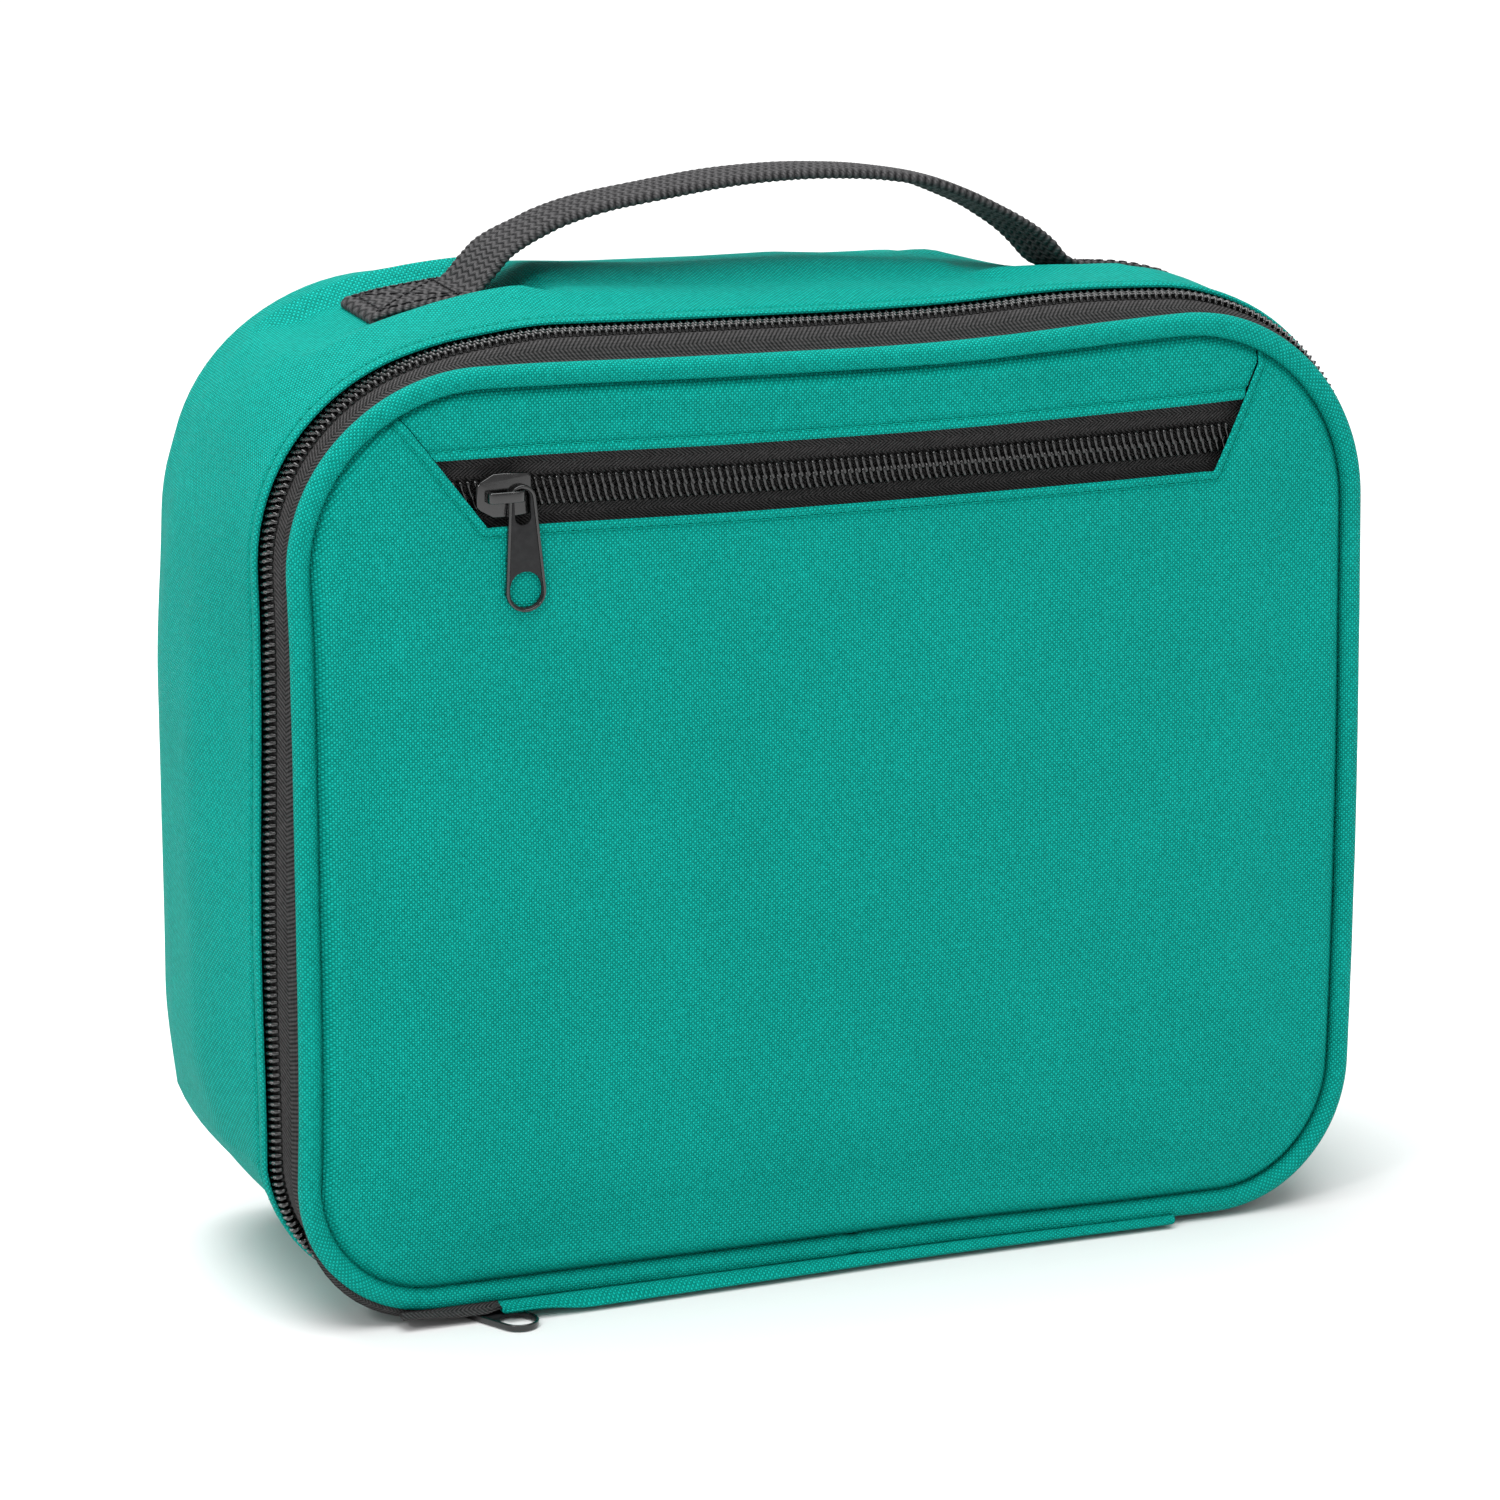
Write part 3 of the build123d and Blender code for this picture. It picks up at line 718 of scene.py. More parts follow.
def puff(points: Array, pinned: Array, push: float, cap: float, wraps: bool = False) -> Array:
    """Blow a pinned sheet of cloth outward with a cloth simulation.

    Args:
        points: Grid of positions in millimetres.
        pinned: Grid of True where the cloth is held.
        push: Air pressure, negative to push against the grid's own normals.
        cap: Longest allowed move in millimetres.
        wraps: Whether the rows close on themselves.

    Returns:
        Moves in millimetres, shaped as the points.
    """
    rows, columns = points.shape[:2]
    work = grid_mesh("cloth_work", points, np.zeros((rows + 1, columns + 1, 2)), (wraps, False))
    group = work.vertex_groups.new(name="held")
    group.add(np.flatnonzero(pinned.ravel()).tolist(), 1.0, "REPLACE")
    cloth = work.modifiers.new("cloth", "CLOTH")
    cloth.settings.vertex_group_mass = "held"
    cloth.settings.use_pressure = True
    cloth.settings.uniform_pressure_force = push
    cloth.settings.effector_weights.gravity = 0.0
    cloth.settings.quality = 5
    cloth.settings.mass = 0.25
    cloth.settings.tension_stiffness = 20.0
    cloth.settings.compression_stiffness = 20.0
    cloth.settings.bending_stiffness = 2.0
    cloth.settings.tension_damping = 15.0
    cloth.collision_settings.use_collision = False
    cloth.point_cache.frame_start = 1
    cloth.point_cache.frame_end = 20
    for step in range(1, 21):
        bpy.context.scene.frame_set(step)
    graph = bpy.context.evaluated_depsgraph_get()
    result = work.evaluated_get(graph).data
    found = np.zeros(len(result.vertices) * 3, np.float32)
    result.vertices.foreach_get("co", found)
    moves = found.reshape(points.shape) / MM - points
    bpy.data.objects.remove(work)
    bpy.context.scene.frame_set(1)
    length = np.linalg.norm(moves, axis=-1, keepdims=True)
    LOG.info("cloth moved up to %.2f mm", float(length.max()))
    return moves * np.minimum(1.0, cap / np.maximum(length, 1e-6))


@dataclass(frozen=True)
class Outline:
    """Rectangle with two corner radii, seen from the front."""

    half: float
    low: float
    high: float
    top_radius: float
    bottom_radius: float

    def grown(self, amount: float) -> "Outline":
        """Return the parallel outline, larger by amount."""
        return Outline(self.half + amount, self.low - amount, self.high + amount,
                       self.top_radius + amount, self.bottom_radius + amount)

    def ring(self, fine: int = 1) -> tuple[Array, Array, Array]:
        """Sample the outline, anticlockwise from the middle of its lower side.

        Args:
            fine: Multiplies the number of samples.

        Returns:
            Points, outward normals, and the distance run to each point and back to the start.
        """
        points, normals = [], []
        low_half, top_half = self.half - self.bottom_radius, self.half - self.top_radius
        low_z, top_z = self.low + self.bottom_radius, self.high - self.top_radius

        def run(start: tuple[float, float], end: tuple[float, float], out: tuple[float, float],
                n: int) -> None:
            """Add a straight run.

            Args:
                start: First point.
                end: Point it stops short of.
                out: Outward normal.
                n: Samples.
            """
            for k in range(n * fine):
                t = k / (n * fine)
                points.append((start[0] + t * (end[0] - start[0]), start[1] + t * (end[1] - start[1])))
                normals.append(out)

        def turn(centre: tuple[float, float], radius: float, begin: float, n: int) -> None:
            """Add a quarter turn.

            Args:
                centre: Centre of the corner.
                radius: Its radius.
                begin: First angle in degrees.
                n: Samples.
            """
            for k in range(n * fine):
                angle = math.radians(begin + 90.0 * k / (n * fine))
                out = (math.cos(angle), math.sin(angle))
                points.append((centre[0] + radius * out[0], centre[1] + radius * out[1]))
                normals.append(out)

        run((0.0, self.low), (low_half, self.low), (0.0, -1.0), STEPS[0])
        turn((low_half, low_z), self.bottom_radius, -90.0, STEPS[1])
        run((self.half, low_z), (self.half, top_z), (1.0, 0.0), STEPS[2])
        turn((top_half, top_z), self.top_radius, 0.0, STEPS[3])
        run((top_half, self.high), (-top_half, self.high), (0.0, 1.0), STEPS[4])
        turn((-top_half, top_z), self.top_radius, 90.0, STEPS[3])
        run((-self.half, top_z), (-self.half, low_z), (-1.0, 0.0), STEPS[2])
        turn((-low_half, low_z), self.bottom_radius, 180.0, STEPS[1])
        run((-low_half, self.low), (0.0, self.low), (0.0, -1.0), STEPS[0])
        where = np.array(points)
        gaps = np.linalg.norm(np.roll(where, -1, 0) - where, axis=1)
        return where, np.array(normals), np.concatenate([[0.0], np.cumsum(gaps)])

    def half_at(self, z: Array) -> Array:
        """Return half the width at each height.

        Args:
            z: Heights in millimetres.

        Returns:
            Half widths in millimetres.
        """
        top = np.clip(z - (self.high - self.top_radius), 0.0, self.top_radius)
        low = np.clip(self.low + self.bottom_radius - z, 0.0, self.bottom_radius)
        at_top = self.half - self.top_radius + np.sqrt(np.maximum(self.top_radius**2 - top**2, 0.0))
        at_low = self.half - self.bottom_radius + np.sqrt(np.maximum(self.bottom_radius**2 - low**2, 0.0))
        return np.minimum(at_top, at_low)

    def rows(self, fine: int = 1) -> Array:
        """Return heights that follow the corners closely.

        Args:
            fine: How many times finer than usual.

        Returns:
            Heights from the lowest to the highest.
        """
        turn = np.linspace(0.0, math.pi / 2, 13 * fine)
        low = self.low + self.bottom_radius * (1.0 - np.cos(turn))
        high = self.high - self.top_radius * (1.0 - np.cos(turn[::-1]))
        side = np.linspace(low[-1], high[0], 44 * fine)
        return np.concatenate([low, side[1:-1], high])

    def inside(self, x: Array, z: Array) -> Array:
        """Return the distance in from the outline.

        Args:
            x: Places across.
            z: Heights.

        Returns:
            Distances in millimetres, negative outside.
        """
        middle = (self.low + self.high) / 2
        radius = np.where(z > middle, self.top_radius, self.bottom_radius)
        over = np.where(z > middle, z - (self.high - self.top_radius), self.low + self.bottom_radius - z)
        side = np.abs(x) - (self.half - radius)
        outer = np.hypot(np.maximum(side, 0.0), np.maximum(over, 0.0))
        return radius - outer - np.minimum(np.maximum(side, over), 0.0)


# Samples on half the lower side, a lower corner, a side, an upper corner and the top.
STEPS = (30, 16, 44, 22, 56)
def crest(where: Array) -> Array:
    """Return how far the wall's mouth and its zip swell outward at each ring sample.

    Args:
        where: Ring samples as x and z.

    Returns:
        Outward moves in millimetres.
    """
    x, z = where[:, 0], where[:, 1]
    across = smooth_step(x, -92.0, -58.0)
    top = 3.0 * across * (1.0 - smooth_step(x, 45.0, 100.0)) * smooth_step(z, 150.0, 200.0)
    left = 1.6 * np.exp(-(((z - 80.0) / 48.0) ** 2)) * (x < -60.0)
    return top + left


def sag(x: Array, y: Array) -> Array:
    """Return how far the top falls away behind the handle's right end."""
    fall = -0.17 * np.maximum(y + 6.0, 0.0)
    return fall * smooth_step(x, 40.0, 72.0) * (1.0 - smooth_step(x, 108.0, 124.0))


BAG = Outline(125.0, 0.0, 209.0, 46.0, 34.0)
CHAIN = Outline(124.2, 5.0, 208.2, 45.2, 34.2)
BEAD = Outline(119.4, 6.0, 203.4, 40.4, 28.4)
CHAIN_Y = -32.2
ROW_Y = -31.1  # the soft chain lies a little behind its drawn line
BEAD_Y = -40.0
BACK_Y = 42.5
STRIP_HALF = 77.5


@dataclass
class Sweep:
    """Carries a closed profile round an outline."""

    name: str
    profile: Callable[[Array, Array], tuple[Array, Array]]
    outline: Outline = BAG
    first: int = 0
    last: int = -1
    fine: int = 1

    def make(self, shift: Array | None = None) -> bpy.types.Object:
        """Build the mesh.

        Args:
            shift: Extra moves in millimetres, one for each ring sample and profile point.

        Returns:
            The new object.
        """
        where, out, run = self.outline.ring(self.fine)
        grow, depth = self.profile(where, out)
        points = np.stack([where[:, :1] + out[:, :1] * grow, depth, where[:, 1:] + out[:, 1:] * grow], 2)
        if shift is not None:
            points = points + shift
        count = len(where)
        steps = np.sqrt(np.diff(grow[0], append=grow[0, :1]) ** 2
                        + np.diff(depth[0], append=depth[0, :1]) ** 2)
        along = np.concatenate([[0.0], np.cumsum(steps)])
        cloth = np.stack(np.meshgrid(run, along, indexing="ij"), 2)
        if self.last < 0:
            return grid_mesh(self.name, points, cloth, (True, True))
        span = np.arange(self.first, self.last + 1)
        wrapped = cloth[span % count].copy()
        wrapped[:, :, 0] += np.where(span >= count, run[-1], 0.0)[:, None]
        return grid_mesh(self.name, points[span % count], wrapped, (False, True), True)


def fixed(profile: Sequence[tuple[float, float]]) -> Callable[[Array, Array], tuple[Array, Array]]:
    """Return a profile that is the same all round, as (outward, y) pairs.

    Args:
        profile: The pairs, in millimetres.

    Returns:
        Function of ring samples and their normals that gives outward offsets and y.
    """
    table = np.array(profile)

    def spread_out(where: Array, _: Array) -> tuple[Array, Array]:
        """Repeat the pairs for each sample."""
        return np.tile(table[:, 0], (len(where), 1)), np.tile(table[:, 1], (len(where), 1))

    return spread_out


def polyline(name: str, points: Array, closed: bool = False) -> bpy.types.Object:
    """Make a bare line mesh through points in millimetres.

    Args:
        name: Object name.
        points: Places in order.
        closed: Whether the last point joins the first.

    Returns:
        The line object.
    """
    mesh = bpy.data.meshes.new(name)
    edges = [(k, k + 1) for k in range(len(points) - 1)]
    if closed:
        edges.append((len(points) - 1, 0))
    mesh.from_pydata((np.asarray(points) * MM).tolist(), edges, [])
    return new_object(name, mesh)


# ---- repeated shapes ------------------------------------------------------------------------------
class RowOfParts:
    """Geometry nodes that set copies of a small part along a line."""

    def __init__(self) -> None:
        """Build the node tree once."""
        tree = bpy.data.node_groups.new("row_of_parts", "GeometryNodeTree")
        self.tree = tree
        shape = tree.interface
        self.sockets = {
            name: shape.new_socket(name, in_out="INPUT", socket_type=kind)
            for name, kind in (("Line", "NodeSocketGeometry"), ("Part", "NodeSocketObject"),
                               ("Spacing", "NodeSocketFloat"), ("Across", "NodeSocketVector"),
                               ("Uneven", "NodeSocketFloat"), ("Seed", "NodeSocketInt"),
                               ("Finish", "NodeSocketMaterial"))
        }
        shape.new_socket("Row", in_out="OUTPUT", socket_type="NodeSocketGeometry")
        given = tree.nodes.new("NodeGroupInput").outputs
        to_curve = self.add("GeometryNodeMeshToCurve", {0: given["Line"]})
        spaced = self.add("GeometryNodeCurveToPoints", {0: to_curve.outputs[0], "Length": given["Spacing"]},
                          mode="LENGTH")
        turned = self.add("FunctionNodeAxesToRotation", {0: spaced.outputs["Tangent"], 1: given["Across"]},
                          primary_axis="X", secondary_axis="Y")
        low = self.add("ShaderNodeMath", {0: 1.0, 1: given["Uneven"]}, operation="SUBTRACT")
        high = self.add("ShaderNodeMath", {0: 1.0, 1: given["Uneven"]}, operation="ADD")
        size = self.add("FunctionNodeRandomValue", {
            2: low.outputs[0], 3: high.outputs[0], "Seed": given["Seed"]}, data_type="FLOAT")
        part = self.add("GeometryNodeObjectInfo", {0: given["Part"]})
        copies = self.add("GeometryNodeInstanceOnPoints", {
            "Points": spaced.outputs["Points"], "Instance": part.outputs["Geometry"],
            "Rotation": turned.outputs[0], "Scale": size.outputs[1]})
        real = self.add("GeometryNodeRealizeInstances", {0: copies.outputs[0]})
        painted = self.add("GeometryNodeSetMaterial", {0: real.outputs[0], "Material": given["Finish"]})
        result = tree.nodes.new("NodeGroupOutput")
        tree.links.new(painted.outputs[0], result.inputs[0])

    def add(self, kind: str, links: dict[Any, Any], **settings: Any) -> bpy.types.Node:
        """Add a node.

        Args:
            kind: Blender's type name.
            links: Sockets to link, or values to set.
            **settings: Node properties.

        Returns:
            The node.
        """
        node = self.tree.nodes.new(kind)
        for key, setting in settings.items():
            setattr(node, key, setting)
        for key, value in links.items():
            if isinstance(value, bpy.types.NodeSocket):
                self.tree.links.new(value, node.inputs[key])
            else:
                node.inputs[key].default_value = value
        return node

    def make(self, name: str, lines: Sequence[Array], part: bpy.types.Object, spacing: float, across: Across,
             finish: Any, uneven: float = 0.0) -> bpy.types.Object:
        """Set parts along lines and return them as one plain mesh.

        Args:
            name: Piece name.
            lines: Lines of points in millimetres.
            part: The shape to repeat, lying along +X.
            spacing: Distance between parts in millimetres.
            across: Where the part's own +Y points.
            finish: Finish of the parts.
            uneven: Random share of size.

        Returns:
            The new object.
        """
        rows = []
        for number, line in enumerate(lines):
            row = polyline(f"{name}_{number}", line)
            nodes = row.modifiers.new("row", "NODES")
            nodes.node_group = self.tree
            values = {"Part": part, "Spacing": spacing * MM, "Across": across.value, "Uneven": uneven,
                      "Seed": number + 3, "Finish": WARDROBE(finish)}
            for key, value in values.items():
                nodes[self.sockets[key].identifier] = value
            rows.append(settle(row))
        made = join(name, rows)
        made.data.polygons.foreach_set("use_smooth", [True] * len(made.data.polygons))
        return made


def tube(name: str, line: Sequence[Sequence[float]], radii: Sequence[float], sides: int = 6,
         squash: float = 1.0) -> bpy.types.Object:
    """Make a closed tube through points.

    Args:
        name: Object name.
        line: Points in millimetres.
        radii: Radius at each point.
        sides: Number of sides.
        squash: Height of the section as a share of its width.

    Returns:
        The new object.
    """
    spine = np.array(line, float)
    along = np.gradient(spine, axis=0)
    along /= np.linalg.norm(along, axis=1, keepdims=True)
    guide = np.array([1.0, 0.0, 0.0]) if np.abs(along[:, 0]).max() < 0.9 else np.array([0.0, 1.0, 0.0])
    side = np.cross(along, guide)
    side /= np.linalg.norm(side, axis=1, keepdims=True)
    up = np.cross(side, along)
    turn = np.linspace(0.0, 2 * math.pi, sides, endpoint=False)
    ring = side[:, None] * np.cos(turn)[None, :, None] + up[:, None] * np.sin(turn)[None, :, None] * squash
    points = spine[:, None] + ring * np.array(radii)[:, None, None]
    cloth = np.zeros((len(spine) + 1, sides + 1, 2))
    return grid_mesh(name, points, cloth, (False, True), True)


ROWS = RowOfParts()


@dataclass(frozen=True)
class CoilChain:
    """Teeth of one coil zip."""

    reach: float = 2.4
    pitch: float = 1.6
    wire: float = 0.44

    def tooth(self) -> bpy.types.Object:
        """Make one loop: it climbs from the outer edge, slants over the tape and dives at its head.

        Returns:
            The loop, to be repeated along a chain.
        """
        r = self.reach
        line = [(0.42, -0.95 * r, -1.7), (0.42, -r, -0.7), (0.32, -0.88 * r, 0.04), (0.14, -0.6 * r, -0.32),
                (-0.06, -0.33 * r, -0.3), (-0.26, -0.02, 0.02), (-0.34, 0.4, -0.5), (-0.3, 0.3, -1.3)]
        w = self.wire
        return tube("tooth", line, [w, w, w, w * 0.95, w * 0.9, w * 1.05, w, w * 0.7])

    def half(self, name: str, line: Array, across: Across) -> bpy.types.Object:
        """Make one half of the chain along a line.

        Args:
            name: Piece name.
            line: The chain's middle line in millimetres.
            across: From the outer edge towards the middle.

        Returns:
            The new object.
        """
        tooth = self.tooth()
        made = ROWS.make(name, [line], tooth, self.pitch, across, BLACK_COIL)
        bpy.data.objects.remove(tooth)
        return made


def stretch(line: Array, pitch: float, phase: float = 0.0) -> Array:
    """Cut a line so that it holds a whole number of teeth.

    Args:
        line: Points in millimetres.
        pitch: Distance between two teeth.
        phase: Length left out at the start, as a share of the pitch.

    Returns:
        The line's new points.
    """
    run = np.concatenate([[0.0], np.cumsum(np.linalg.norm(np.diff(line, axis=0), axis=1))])
    start = phase * pitch
    count = int((run[-1] - start) / pitch)
    spots = np.linspace(start, start + count * pitch, len(line))
    return np.stack([np.interp(spots, run, line[:, k]) for k in range(3)], 1)


def stitches(name: str, lines: Sequence[Array], finish: Any, across: Across, length: float = 2.3,
             gap: float = 0.7, radius: float = 0.24) -> bpy.types.Object:
    """Sew along lines.

    Args:
        name: Piece name.
        lines: Lines of points in millimetres.
        finish: Thread finish.
        across: A direction across the seam.
        length: Visible length of a stitch.
        gap: Cloth between two stitches.
        radius: Half the thread's width.

    Returns:
        The new object.
    """
    half = length / 2
    line = [(-half, 0, -0.35), (-half * 0.75, 0, -0.02), (0, 0, 0.05), (half * 0.75, 0, -0.02),
            (half, 0, -0.35)]
    thread = tube("thread", line, [radius * 0.7, radius, radius, radius, radius * 0.7], 6, 0.8)
    made = ROWS.make(name, lines, thread, length + gap, across, finish, 0.04)
    bpy.data.objects.remove(thread)
    return made


# ---- padded shell ---------------------------------------------------------------------------------
@dataclass
class Shell:
    """Padded side wall, base and back, with the foil lining and the bound mouth."""

    mouth: float = -27.9
    seam: float = 37.5
    back_radius: float = 9.5
    rear: float = 43.6
    fabric: float = 1.0
    lining: float = 5.2
    swell: float = 2.6

    def rounding(self, depth: Array) -> Array:
        """Return how far the soft back edge draws in at each y.

        Args:
            depth: The y values.

        Returns:
            Inward moves in millimetres.
        """
        start = self.rear - self.back_radius
        over = np.clip(depth - start, 0.0, self.back_radius)
        return self.back_radius - np.sqrt(self.back_radius**2 - over**2)

    def wall_depths(self) -> Array:
        """Return the y of the samples across the outer face."""
        return np.concatenate([[-27.4, -26.8, -26.1, -25.4, -24.9, -24.3, -23.7, -22.8],
                               np.linspace(-21.5, 30.5, 22), np.linspace(32.0, self.seam, 6)])

    def wall(self) -> tuple[Array, Array]:
        """Return the outer profile as outward offsets and y.

        Returns:
            Outward offsets and their y.
        """
        depth = self.wall_depths()
        seam_line = -0.42 * np.exp(-(((depth + 24.4) / 0.55) ** 2))
        lip = 0.22 * np.exp(-(((depth + 26.4) / 1.0) ** 2))
        return seam_line + lip - self.rounding(depth), depth

    def swelling(self) -> tuple[Array, Array, Array]:
        """Puff the wall as held cloth.

        Returns:
            Ring sample numbers, y values and moves on that coarse grid.
        """
        where, out, _ = BAG.ring()
        picks = np.arange(0, len(where), 2)
        depths = np.array([-28.0, -25.0, *np.linspace(-21.0, 28.0, 10), 33.0, self.seam])
        grow = -self.rounding(depths)[None, :]
        ring, normal = where[picks], out[picks]
        points = np.stack([ring[:, :1] + normal[:, :1] * grow, np.tile(depths, (len(picks), 1)),
                           ring[:, 1:] + normal[:, 1:] * grow], 2)
        held = np.zeros(points.shape[:2], bool)
        held[:, :2] = True
        held[:, -1:] = True
        held |= (points[:, :, 2] < 1.5)
        moves = puff(points, held, 9.0, self.swell, True)
        outward = np.sum(moves * np.stack([normal[:, 0], 0 * normal[:, 0], normal[:, 1]], 1)[:, None], 2)
        if outward.sum() < 0:
            moves = -moves
        return picks, depths, moves

    def soft_shift(self, depths: Array) -> Array:
        """Return the moves of the outer face at every ring sample and y.

        Args:
            depths: The y values.

        Returns:
            Moves along x, y and z in millimetres.
        """
        where, out, _ = BAG.ring()
        _, coarse, moves = self.swelling()
        across = np.interp(depths, coarse, np.arange(len(coarse)))
        closed = np.concatenate([moves[-2:], moves, moves[:3]])
        rows = np.arange(len(where)) / 2 + 2
        grid_r, grid_c = np.meshgrid(rows, across, indexing="ij")
        soft = spread(closed, grid_r.ravel(), grid_c.ravel()).reshape(len(where), len(depths), 3)
        lift = smooth_step(where[:, 1], 2.0, 26.0)[:, None]
        middle = smooth_step(depths, -24.0, -12.0) * (1.0 - smooth_step(depths, 24.0, 35.0))
        spots = np.stack([np.repeat(where[:, :1], len(depths), 1), np.tile(depths, (len(where), 1)),
                          np.repeat(where[:, 1:], len(depths), 1)], 2)
        ripple = wave(spots * np.array([1.0, 0.55, 1.0]), 34.0, 4.0) * 0.75
        ripple += wave(spots * np.array([0.35, 1.0, 0.35]), 13.0, 9.0) * 0.35
        on_top = smooth_step(where[:, 1], 180.0, 205.0)[:, None] * (np.abs(where[:, :1]) < 80)
        creases = 0.9 * np.sin(depths / 5.2 + where[:, :1] / 38.0)
        fold = on_top * (creases * np.exp(-(((depths - 2.0) / 15.0) ** 2))) * 1.4
        x, z = where[:, :1], where[:, 1:]
        share = smooth_step(depths, -30.0, 4.0) * (1.0 - 0.3 * smooth_step(depths, 22.0, self.seam))
        side = 6.8 * smooth_step(z, 14.0, 58.0) * (1.0 - 0.72 * smooth_step(z, 125.0, 185.0))
        ends = smooth_step(np.abs(x + 5.0), 44.0, 56.0) * (1.0 - smooth_step(np.abs(x), 98.0, 108.0))
        amount = np.interp(x, (-125.0, -60.0, 10.0, 40.0, 70.0), (3.6, 5.6, 5.4, 3.0, 0.0))
        top = amount * smooth_step(z, 150.0, 203.0)
        under = smooth_step(depths, -9.0, -2.0) * (1.0 - smooth_step(depths, 22.0, 29.0))
        free = 1.0 - ends * under[None] * (z > 170.0)
        gain = np.maximum(side * (1.0 - smooth_step(z, 172.0, 205.0)), top)
        outward = ((ripple + fold) * middle[None] * lift + gain * share) * free
        outward += sag(x, depths[None]) * (z > 170.0)
        normal = np.stack([out[:, 0], np.zeros(len(out)), out[:, 1]], 1)
        return soft * (lift * free)[..., None] + normal[:, None] * outward[..., None]

    def drawn_in(self, depths: Array) -> Array:
        """Return the outward moves that draw the wall in to its mouth, at every ring sample and y.

        Args:
            depths: The y values.

        Returns:
            Moves in millimetres, negative inward.
        """
        where, out, _ = BAG.ring()
        chain, _, _ = CHAIN.ring()
        pull = 1.0 - 0.3 * smooth_step(depths, -12.0, 26.0)
        brim = (1.0 - smooth_step(depths, -28.0, 6.0))[None]
        ends = smooth_step(np.abs(where[:, :1] + 5.0), 44.0, 56.0) * (where[:, 1:] > 150.0)
        brim = np.maximum(brim, 0.9 * ends * (1.0 - smooth_step(depths, 22.0, 36.0))[None])
        corner = 2.0 * np.clip(-out[:, 1], 0.0, 1.0) * np.abs(out[:, 0])
        off_base = smooth_step(np.abs(where[:, 0]), STRIP_HALF + 2.0, STRIP_HALF + 13.0)
        drop = np.sum((chain + 0.8 * out - where) * out, 1) * off_base
        moved = pull[None] * drop[:, None] + brim * crest(where)[:, None]
        return moved - 2.6 * corner[:, None] * smooth_step(depths, -27.5, -15.0)[None]

    def lining_shift(self, depths: Array) -> Array:
        """Return how the lining gives way where the wall is drawn inward.

        Args:
            depths: The y values.

        Returns:
            Moves along x, y and z in millimetres.
        """
        where, out, _ = BAG.ring()
        normal = np.stack([out[:, 0], np.zeros(len(out)), out[:, 1]], 1)
        lowered = sag(where[:, :1], depths[None]) * (where[:, 1:] > 170.0)
        return normal[:, None] * np.minimum(self.drawn_in(depths) + lowered, 0.0)[..., None]

    def build(self) -> None:
        """Build and dress every piece of the shell."""
        grow, depth = self.wall()
        where, out, _ = BAG.ring()
        inner_grow = grow[::-1] - self.fabric
        lip = [(-0.15, self.mouth + 0.05), (-0.5, self.mouth - 0.15), (-0.85, self.mouth + 0.05)]
        tuck = [(grow[-1] - 0.55, self.seam + 0.1)]
        outward = np.concatenate([grow, [t[0] for t in tuck], inner_grow, [t[0] for t in lip[::-1]]])
        depths = np.concatenate([depth, [t[1] for t in tuck], depth[::-1], [t[1] for t in lip[::-1]]])
        normal = np.stack([out[:, 0], np.zeros(len(out)), out[:, 1]], 1)
        shift = self.soft_shift(depths) + normal[:, None] * self.drawn_in(depths)[..., None]
        profile = fixed(np.stack([outward, depths], 1).tolist())
        count = len(where)
        side = Sweep("side_wall_cover", profile, BAG, STEPS[0], count - STEPS[0]).make(shift)
        dress(side, TEAL, "bag", "teal_fabric", "gusset_fabric", "gusset_foam")
        base = Sweep("base_cover", profile, BAG, count - STEPS[0], count + STEPS[0]).make(shift)
        dress(base, TEAL, "bag", "teal_fabric", "base_panel", "base_foam")
        self.back(shift, depths)
        self.seams(shift, depths, outward)
        self.inside()

    def back(self, shift: Array, depths: Array) -> None:
        """Build the pillowed back panel.

        Args:
            shift: Moves of the wall's profile.
            depths: The y values of that profile.
        """
        start = self.rounding(np.array([self.seam]))[0]
        outline = BAG.grown(-start)

        def face(x: Array, z: Array) -> Array:
            """Outer y of the back.

            Args:
                x: Places across.
                z: Heights.

            Returns:
                The y values.
            """
            inset = np.clip(outline.inside(x, z) + start, 0.0, self.back_radius)
            y = self.rear - self.back_radius + np.sqrt(self.back_radius**2 - (self.back_radius - inset) ** 2)
            return y - 0.5 * np.exp(-((outline.inside(x, z) / 0.9) ** 2))

        panel = Panel("back_cover", outline, face, 1.0, 1.0, 2.6)
        made = panel.make()
        column = int(np.argmin(np.abs(depths[:40] - self.seam)))
        self.follow(made, outline, shift[:, column])
        dress(made, TEAL, "bag", "teal_fabric", "back_panel", "back_foam")

    @staticmethod
    def follow(piece: bpy.types.Object, outline: Outline, edge: Array) -> None:
        """Move a panel's rim with the wall it is sewn to, fading towards its middle.

        Args:
            piece: The panel.
            outline: The panel's outline.
            edge: Moves of the wall at each ring sample.
        """
        ring, _, _ = outline.ring()
        spots = np.array([vertex.co[:] for vertex in piece.data.vertices]) / MM
        away = np.linalg.norm(spots[:, None, ::2] - ring[None], axis=2)
        nearest = away.min(1, keepdims=True)
        weight = np.exp(-(((away - nearest) / 4.0) ** 2))
        moves = (weight @ edge) / weight.sum(1, keepdims=True)
        spots += moves * (1.0 - smooth_step(nearest, 0.0, 34.0))
        piece.data.vertices.foreach_set("co", (spots * MM).astype(np.float32).ravel())
        piece.data.update()

